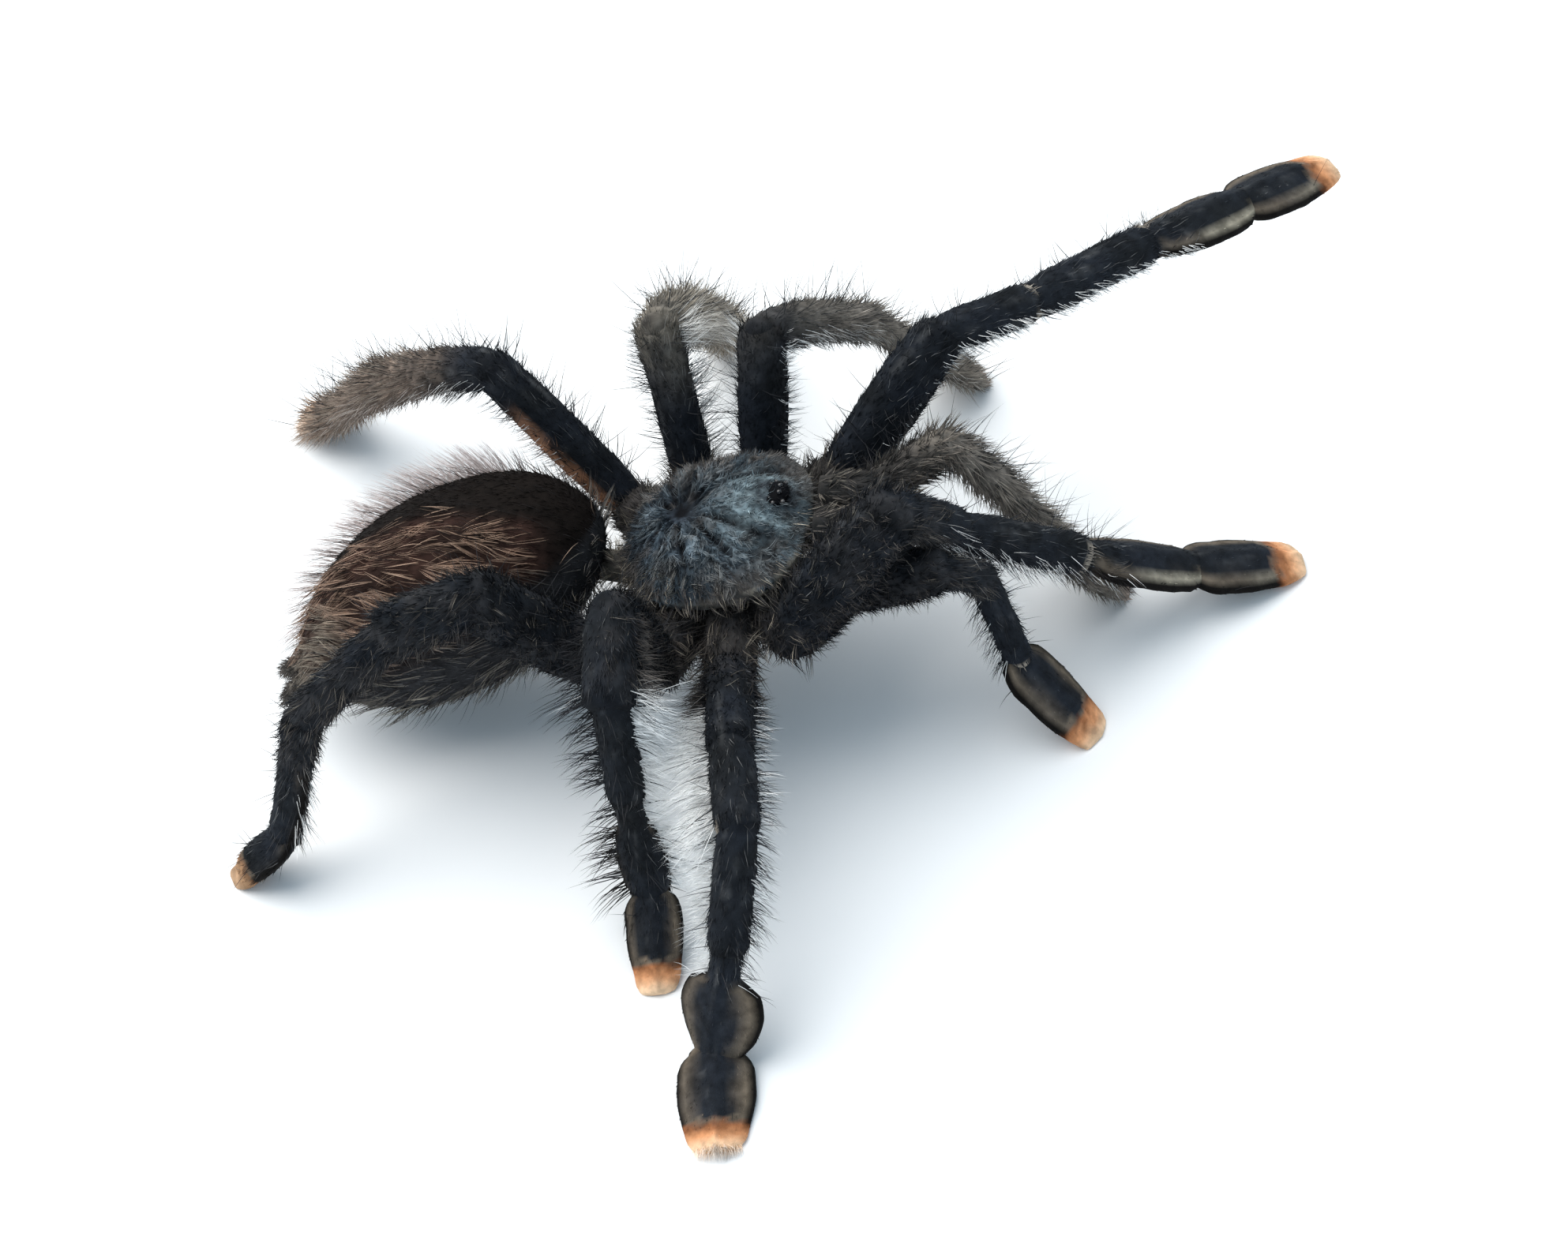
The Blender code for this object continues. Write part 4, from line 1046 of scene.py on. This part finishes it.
def rim_hair(skin, rng):
    """Grey-brown hair that hangs from the rim over the hips, hardly any on the far side."""
    share, count = skin.marks["share"], RIM_HAIRS
    far = ramp(0.0, 0.5, skin.marks["sine"])
    near_rear = ramp(0.4, -0.2, skin.marks["cosine"])
    start = 0.9 - 0.14 * near_rear
    spots = skin.scatter(count, ramp(start, start + 0.1, share) * (1.0 - 0.8 * far) + 1e-6, rng)
    tan = mix(UNDER * 1.5, RIM_BROWN, rng.random(count))
    tan = vary(mix(tan, TAN_PALE, (rng.random(count) < 0.2) * rng.uniform(0.4, 1.0, count)), rng, 0.2)
    length = 1.5 - 1.0 * ramp(0.2, 0.7, spots["sine"])
    return hair(spots, rng, length, 0.048, 0.15, 0.9, 0.35, 0.1, tan * 0.7, tan, 3, (6, 0.75))


def make_shield(skin_surface, hair_surface, eye_surface):
    rng = np.random.default_rng(5)
    skin = shield_skin()
    eye_top = shield_height(EYE_X, 0.0, (EYE_X - FOVEA_X) / (SHIELD_FRONT - FOVEA_X)) - EYE_SUNK
    mound = ball(body_place([[EYE_X, 0.0, eye_top]])[0], EYE_HALF, 24, 14, BODY_PITCH)
    parts = [skin.painted(shield_tint(skin.marks, skin.points)), mound.painted(SHIELD_GROOVE * 0.7)]
    make_piece("carapace_skin", parts, skin_surface, "shield", "carapace")

    beads = []
    for across, ahead, size, pearly in EYES:
        for sign in (1.0, -1.0):
            off = (across / EYE_HALF[1]) ** 2 + (ahead / EYE_HALF[0]) ** 2
            rise = EYE_HALF[2] * math.sqrt(max(0.04, 1.0 - off))
            centre = body_place([[EYE_X + ahead, sign * across, eye_top + rise * 0.95]])[0]
            bead = ball(centre, (size, size, size), 16, 10, 0.0)
            beads.append(bead.painted(PEARLY_EYE if pearly else DARK_EYE))
    make_piece("eyes", beads, eye_surface, "fang")

    coats = [shield_nap(skin, rng), shield_tufts(skin, rng), rim_hair(skin, rng)]
    spots = mound.scatter(MOUND_HAIRS, 1.0, rng)
    tip = vary(SHIELD_GROOVE * 2.0, rng, 0.4, MOUND_HAIRS)
    coats.append(hair(spots, rng, 0.5, 0.045, 0.4, -0.6, 0.4, 0.3, SHIELD_GROOVE, tip, 1))
    make_piece("carapace_hair", coats, hair_surface, "shield", smooth=False)


def egg_points(rings, around, taper):
    """Points and marks of an egg of half-size 1, its poles fore and aft, narrowed aft by the taper."""
    lie = math.pi * (np.arange(rings) + 0.7) / (rings + 0.4)
    turn = np.arange(around) * math.tau / around
    ahead = -np.cos(lie)
    size = np.sin(lie) * (1.0 - taper * np.maximum(0.0, -ahead) ** 2)
    y, z = (np.outer(size, wave).ravel() for wave in (np.cos(turn), np.sin(turn)))
    local = np.stack([np.repeat(ahead, around), y, z], 1)
    local = np.concatenate([local, [[-1.0, 0.0, 0.0]], [[1.0, 0.0, 0.0]]])
    return local, {"ahead": local[:, 0], "side": local[:, 1], "high": local[:, 2]}


def ball(centre, half, around, rings, pitch):
    """An egg-shaped skin of this half-size, tilted head up."""
    local, marks = egg_points(rings, around, 0.0)
    points = np.asarray(centre) + (local * np.array(half)) @ np.stack(directions(0.0, pitch))
    return Skin(points, tube_faces(rings, around), np.tile([-1.0, 0.0, 0.0], (len(points), 1)), marks)


# The abdomen
ABDOMEN_RINGS, ABDOMEN_AROUND = 44, 56
ABDOMEN_NAP, ABDOMEN_STRANDS, FAR_STRANDS, ABDOMEN_BRISTLES = 9500, 2900, 1000, 800


def abdomen_skin():
    local, marks = egg_points(ABDOMEN_RINGS, ABDOMEN_AROUND, ABDOMEN_TAPER)
    points = local * np.array(ABDOMEN_HALF)
    dents = noise(points + 70.0, 5.0) - 0.5
    points *= 1.0 + 0.03 * dents[:, None]
    placed = abdomen_place(points)
    away = unit(local / np.array(ABDOMEN_HALF))
    rearward = np.tile([-1.0, 0.0, -0.3], (len(local), 1))
    rearward[:, 2] += 1.3 * ramp(-1.0, -0.5, local[:, 0]) + 0.4 * ramp(-0.2, 0.4, local[:, 0])
    rearward -= away * (away * rearward).sum(1)[:, None]
    flow = unit(rearward + 1e-6) @ np.stack(directions(ABDOMEN_YAW, ABDOMEN_PITCH))
    return Skin(placed, tube_faces(ABDOMEN_RINGS, ABDOMEN_AROUND), flow, marks)


def abdomen_zones(marks):
    """How far each spot is on the copper flank, beige rear, belly and pale left flank, 0 to 1 each."""
    ahead, side, high = marks["ahead"], marks["side"], marks["high"]
    around = np.degrees(np.arctan2(high, -side))
    rise = np.degrees(np.arctan2(high, np.abs(side)))
    top = 102.0 - np.where(ahead > 0.0, 50.0 * np.abs(ahead) ** 1.5, 20.0 * ahead)
    copper = ramp(top + 5.0, top - 9.0, around) * ramp(12.0, 30.0, around) * ramp(0.85, 0.68, ahead)
    rear = ramp(-0.3, -0.6, ahead) * ramp(90.0, 68.0, around) * ramp(0.0, 25.0, around)
    belly = ramp(28.0, 8.0, rise)
    far = ramp(46.0, 38.0, rise) * ramp(0.0, 20.0, rise) * (side > 0) * ramp(0.75, 0.5, ahead)
    return copper, rear, belly, far


def abdomen_tint(marks, points):
    """Black-brown on top and in front, copper flanks, a beige rear and a grey-brown belly."""
    copper, rear, belly, far = abdomen_zones(marks)
    colour = mix(ABDOMEN_DARK, COPPER, copper * (0.15 + 0.7 * noise(points, 2.2)))
    colour = mix(colour, BEIGE, rear * 0.4)
    colour = mix(colour, UNDER * 2.3, belly * (1.0 - rear))
    return mix(colour, BEIGE, far * 0.6)


def make_abdomen(skin_surface, hair_surface):
    rng = np.random.default_rng(8)
    skin = abdomen_skin()
    part = skin.painted(abdomen_tint(skin.marks, skin.points) * 0.4)
    make_piece("abdomen_skin", [part], skin_surface, "abdomen", "abdomen")
    copper, rear, belly, far = abdomen_zones(skin.marks)
    coats = []
    # A dense dark nap
    spots = skin.scatter(ABDOMEN_NAP, 1.0, rng)
    ground = abdomen_tint(spots, spots["point"])
    root, tip = vary(ground * 0.6, rng, 0.25), vary(ground * 0.9, rng, 0.3)
    coats.append(hair(spots, rng, 0.9, 0.065, 0.2, 1.0, 0.15, 0.2, root, tip, 1))
    # Separate strands of copper hair on the flanks, thick beige ones at the rear
    patchy = 0.35 + 0.65 * ramp(0.3, 0.65, noise(skin.points + 51.0, 2.6))
    shown = patchy * (0.8 * copper + 1.0 * rear + 0.3 * belly)
    spots = skin.scatter(ABDOMEN_STRANDS, shown + 1e-6, rng)
    ground = abdomen_tint(spots, spots["point"])
    _, at_rear, at_belly, _ = abdomen_zones(spots)
    light = mix(mix(COPPER_PALE, TAN_PALE, at_rear), TAN_PALE * 0.6, at_belly)
    bright = mix(ground, light, 0.15 + 0.8 * rng.random(ABDOMEN_STRANDS) ** 1.3)
    rise, length = (0.22 + 0.3 * at_rear + 0.3 * at_belly)[:, None], 3.0 - 0.8 * at_rear
    root, tip = mix(ground * 0.8, bright, 0.4), vary(bright, rng, 0.3)
    coats.append(hair(spots, rng, length, 0.06, rise, 1.0, 0.3, 0.2, root, tip, 3, (6, 0.94)))
    # Long pale hair on the left flank, and separate dark bristles all round
    spots = skin.scatter(FAR_STRANDS, far + 1e-6, rng)
    tip = vary(FAR_HAIR, rng, 0.15, FAR_STRANDS)
    coats.append(hair(spots, rng, 4.6, 0.034, 1.0, 0.8, 0.16, 0.5, FAR_HAIR * 0.7, tip, 3, (4, 0.6)))
    spots = skin.scatter(ABDOMEN_BRISTLES, 1.0 - 0.8 * far, rng)
    tip = mix(ABDOMEN_DARK, FRINGE_DARK, rng.random(ABDOMEN_BRISTLES))
    coats.append(hair(spots, rng, 3.4, 0.036, 1.0, 0.7, 0.2, 0.9, ABDOMEN_DARK, tip, 3, (3, 0.5)))
    make_piece("abdomen_hair", coats, hair_surface, "abdomen", smooth=False)


# The underside with its hips, the jaws, fangs and spinnerets
HIP_PLACES, HIP_SIZES = (-0.1, 0.0, 0.55, 0.86, 1.0), (0.6, 0.85, 1.0, 0.95, 0.88)
JAW_PLACES = (0.0, 0.3, 0.75, 0.94, 1.0)
JAW_WIDTHS, JAW_HEIGHTS = (0.9, 1.0, 0.96, 0.7, 0.4), (0.92, 1.0, 0.92, 0.66, 0.4)
SPINNERET_PLACES, SPINNERET_SIZES = (0.0, 0.35, 0.7, 0.93, 1.0), (0.9, 1.0, 0.8, 0.45, 0.2)
BREASTPLATE_HAIRS, WAIST_HAIRS, JAW_HAIRS, JAW_EDGE_HAIRS, SPINNERET_HAIRS = 900, 420, 1000, 260, 500


def hip_skin(limb):
    kind = limb_kind(limb)
    root = body_place([mirrored(HIP_ROOTS[kind], limb)])[0]
    hip = limb_layout(limb)[0][0]
    reach = hip - root
    length = float(np.linalg.norm(reach))
    heading = reach / length
    angles = math.degrees(math.atan2(heading[1], heading[0])), math.degrees(math.asin(heading[2]))
    share = np.linspace(-0.1, 1.0, 22)
    size = HIP_RADIUS[kind] * eased(share, HIP_PLACES, HIP_SIZES)
    size *= 1.0 - 0.09 * np.exp(-(((share - 0.72) / 0.035) ** 2))
    along = np.concatenate([share * length, length + np.sin(END_TURN) * size[-1] * 0.8])
    size = np.concatenate([size, size[-1] * np.cos(END_TURN)])
    return lofted(root, angles, along, size, size, size, length)


def tube_skin(centres, radii, around):
    """A round closed tube along a curve."""
    centres, radii = np.asarray(centres, float), np.asarray(radii, float)
    heading = unit(np.gradient(centres, axis=0))
    side = unit(np.cross(heading, np.array([0.02, 1.0, 0.03])))
    up = np.cross(heading, side)
    turn = np.arange(around) * math.tau / around
    ring = side[:, None] * np.cos(turn)[None, :, None] + up[:, None] * np.sin(turn)[None, :, None]
    points = (centres[:, None] + ring * radii[:, None, None]).reshape(-1, 3)
    points = np.concatenate([points, centres[:1], centres[-1:]])
    along = np.append(np.repeat(np.linspace(0, 1, len(centres)), around), [0.0, 1.0])
    flow = np.concatenate([np.repeat(heading, around, axis=0), heading[:1], heading[-1:]])
    marks = {"along": along, "across": 0 * along, "height": 0 * along}
    return Skin(points, tube_faces(len(centres), around), flow, marks)


def outward(skin):
    """Turns a skin's faces out if its volume says that they point in."""
    corners = skin.points[skin.faces]
    volume = np.einsum("ij,ij->i", corners[:, 0], np.cross(corners[:, 1], corners[:, 2])).sum()
    if volume < 0:
        return Skin(skin.points, skin.faces[:, ::-1], skin.flow, skin.marks)
    return skin


def make_underside(skin_surface, hair_surface):
    rng = np.random.default_rng(21)
    plate = ball(body_place([BREASTPLATE_MIDDLE])[0], BREASTPLATE_HALF, 32, 18, BODY_PITCH)
    waist = np.linspace(body_place([WAIST_START])[0], body_place([WAIST_END])[0], 12)
    stalk = outward(tube_skin(waist, np.full(12, WAIST_RADIUS), 20))
    parts = [plate.painted(UNDER), stalk.painted(mix(UNDER, TAN_PALE, 0.5 * noise(stalk.points, 1.2)))]
    coats = []
    spots = plate.scatter(BREASTPLATE_HAIRS, ramp(0.2, -0.2, plate.marks["high"]) + 1e-6, rng)
    root = vary(UNDER, rng, 0.2, BREASTPLATE_HAIRS)
    tip = vary(UNDER * 1.6, rng, 0.3, BREASTPLATE_HAIRS)
    coats.append(hair(spots, rng, 1.4, 0.05, 0.6, 0.9, 0.25, 0.5, root, tip, 1))
    spots = stalk.scatter(WAIST_HAIRS, 1.0, rng)
    pale = vary(TAN_PALE, rng, 0.2, WAIST_HAIRS)
    coats.append(hair(spots, rng, 2.6, 0.05, 0.9, 0.4, 0.4, 0.3, pale * 0.6, pale, 2, (6, 0.6)))
    for limb in POSE:
        skin = hip_skin(limb)
        lumps = noise(skin.points, 1.5) - 0.5
        skin.points += skin.normals * (0.3 * lumps)[:, None]
        parts.append(skin.painted(mix(UNDER, TAN, 0.45 * noise(skin.points + 15.0, 2.0))))
        area = skin.areas.sum()
        spots = skin.scatter(int(area * 5), 1.0, rng)
        ground = mix(UNDER, TAN, 0.5 * noise(spots["point"] + 15.0, 2.0))
        root, tip = ground * 0.6, vary(ground, rng, 0.4)
        coats.append(hair(spots, rng, 1.1, 0.07, 0.5, 0.9, 0.25, 0.5, root, tip, 1))
        count = int(area * 2.6)
        spots = skin.scatter(count, 0.35 + ramp(-0.2, 0.6, skin.marks["height"]), rng)
        tan = mix(UNDER, TAN, 0.8 * rng.random(count))
        tip = mix(tan, TAN_PALE, (rng.random(count) < 0.35) * rng.random(count))
        tip = vary(tip, rng, 0.25)
        length = 2.8 if limb.endswith("right") else 2.2
        coats.append(hair(spots, rng, length, 0.055, 0.9, 0.6, 0.55, 0.5, tan * 0.6, tip, 2, (6, 0.85)))
    make_piece("underside_skin", parts, skin_surface, "underside", "underside")
    make_piece("underside_hair", coats, hair_surface, "underside", smooth=False)


def make_jaws(skin_surface, hair_surface, fang_surface):
    rng = np.random.default_rng(31)
    base_x, base_y, base_z = JAW_BASE
    share = np.linspace(0.0, 1.0, 24)
    width = JAW_HALF[0] * eased(share, JAW_PLACES, JAW_WIDTHS)
    height = JAW_HALF[1] * eased(share, JAW_PLACES, JAW_HEIGHTS)
    coats = []
    for name, sign in SIDES:
        start = np.array([base_x, sign * base_y, base_z])
        skin = lofted(start, (0.0, JAW_SLOPE), share * JAW_LENGTH, width, height, height, JAW_LENGTH)
        flow = unit(body_place(skin.points + skin.flow) - body_place(skin.points))
        skin = Skin(body_place(skin.points), skin.faces, flow, skin.marks)
        part = skin.painted(mix(VELVET, TAN, 0.35 * noise(skin.points, 1.5)))
        make_piece(f"chelicera_{name}_skin", [part], skin_surface, "velvet", f"chelicera_{name}")
        count = JAW_HAIRS
        spots = skin.scatter(count, 1.0, rng)
        near_base = ramp(0.7, 0.1, spots["along"])
        ground = mix(VELVET, TAN, (0.3 + 0.6 * near_base) * rng.random(count) ** 1.6)
        tip = mix(ground * 1.3, TAN_PALE, near_base * (rng.random(count) < 0.3) * rng.random(count))
        tip = vary(tip, rng, 0.3)
        coats.append(hair(spots, rng, 1.8, 0.058, 0.5, 1.0, 0.35, 0.4, ground, tip, 2, (6, 0.8)))
        low = ramp(0.3, -0.5, skin.marks["height"]) * ramp(0.4, 0.8, skin.marks["along"]) + 1e-6
        spots = skin.scatter(JAW_EDGE_HAIRS, low, rng)
        rust = vary(COPPER, rng, 0.3, JAW_EDGE_HAIRS)
        coats.append(hair(spots, rng, 1.8, 0.055, 0.7, 0.8, 0.2, 0.4, rust, rust * 1.3, 2))

        line = np.array([[x, sign * base_y, z] for x, z, _ in FANG])
        at = np.linspace(0, 1, 20)
        knots = np.linspace(0, 1, len(FANG))
        centres = np.stack([eased(at, knots, line[:, axis]) for axis in range(3)], 1)
        radii = eased(at, knots, [radius for _, _, radius in FANG])
        fang = outward(tube_skin(body_place(centres), radii, 20))
        part = fang.painted(mix(FANG_BLACK, FANG_RED, ramp(0.6, 1.0, fang.marks["along"])))
        make_piece(f"fang_{name}_skin", [part], fang_surface, "fang", f"fang_{name}")
    make_piece("chelicera_hair", coats, hair_surface, "velvet", smooth=False)


def make_spinnerets(skin_surface, hair_surface):
    rng = np.random.default_rng(41)
    coats = []
    share = np.linspace(0.0, 1.0, 26)
    waists = 1.0 - 0.16 * sum(np.exp(-(((share - joint) / 0.03) ** 2)) for joint in (0.36, 0.68))
    radii = SPINNERET_RADIUS * eased(share, SPINNERET_PLACES, SPINNERET_SIZES) * waists
    back, down = -ABDOMEN_HALF[0] - GAP - share * SPINNERET_LENGTH, -SPINNERET_DROOP * share**2
    for name, sign in SIDES:
        centres = abdomen_place(np.stack([back, sign * (SPINNERET_SPREAD + share), down], 1))
        skin = outward(tube_skin(centres, radii, 20))
        part = skin.painted(mix(TAN, TAN_PALE, 0.5 * noise(skin.points, 0.6)) * 0.7)
        make_piece(f"spinneret_{name}_skin", [part], skin_surface, "spinneret", f"spinneret_{name}")
        spots = skin.scatter(SPINNERET_HAIRS, 1.0, rng)
        tan = vary(TAN, rng, 0.35, SPINNERET_HAIRS)
        coats.append(hair(spots, rng, 0.9, 0.045, 0.7, 0.9, 0.3, 0.4, tan * 0.6, tan, 1))
    make_piece("spinneret_hair", coats, hair_surface, "spinneret", smooth=False)


def main():
    make_camera()
    make_light()
    make_floor()
    skin_surface = surface("skin", 0.75, 0.05, bump=0.6)
    hair_surface = surface("hair", 0.7, 0.1, bump=0.1)
    shield_surface = surface("shield", 0.7, 0.05, bump=0.5)
    shield_hair = surface("shield_hair", 0.6, 0.2, bump=0.1)
    glossy = surface("polished", 0.16, 0.6, bump=0.05, patchy=0.15)
    make_shield(shield_surface, shield_hair, glossy)
    make_abdomen(skin_surface, hair_surface)
    make_underside(skin_surface, hair_surface)
    make_jaws(skin_surface, hair_surface, glossy)
    make_spinnerets(skin_surface, hair_surface)
    for limb in POSE:
        make_limb(limb, skin_surface, hair_surface)


main()
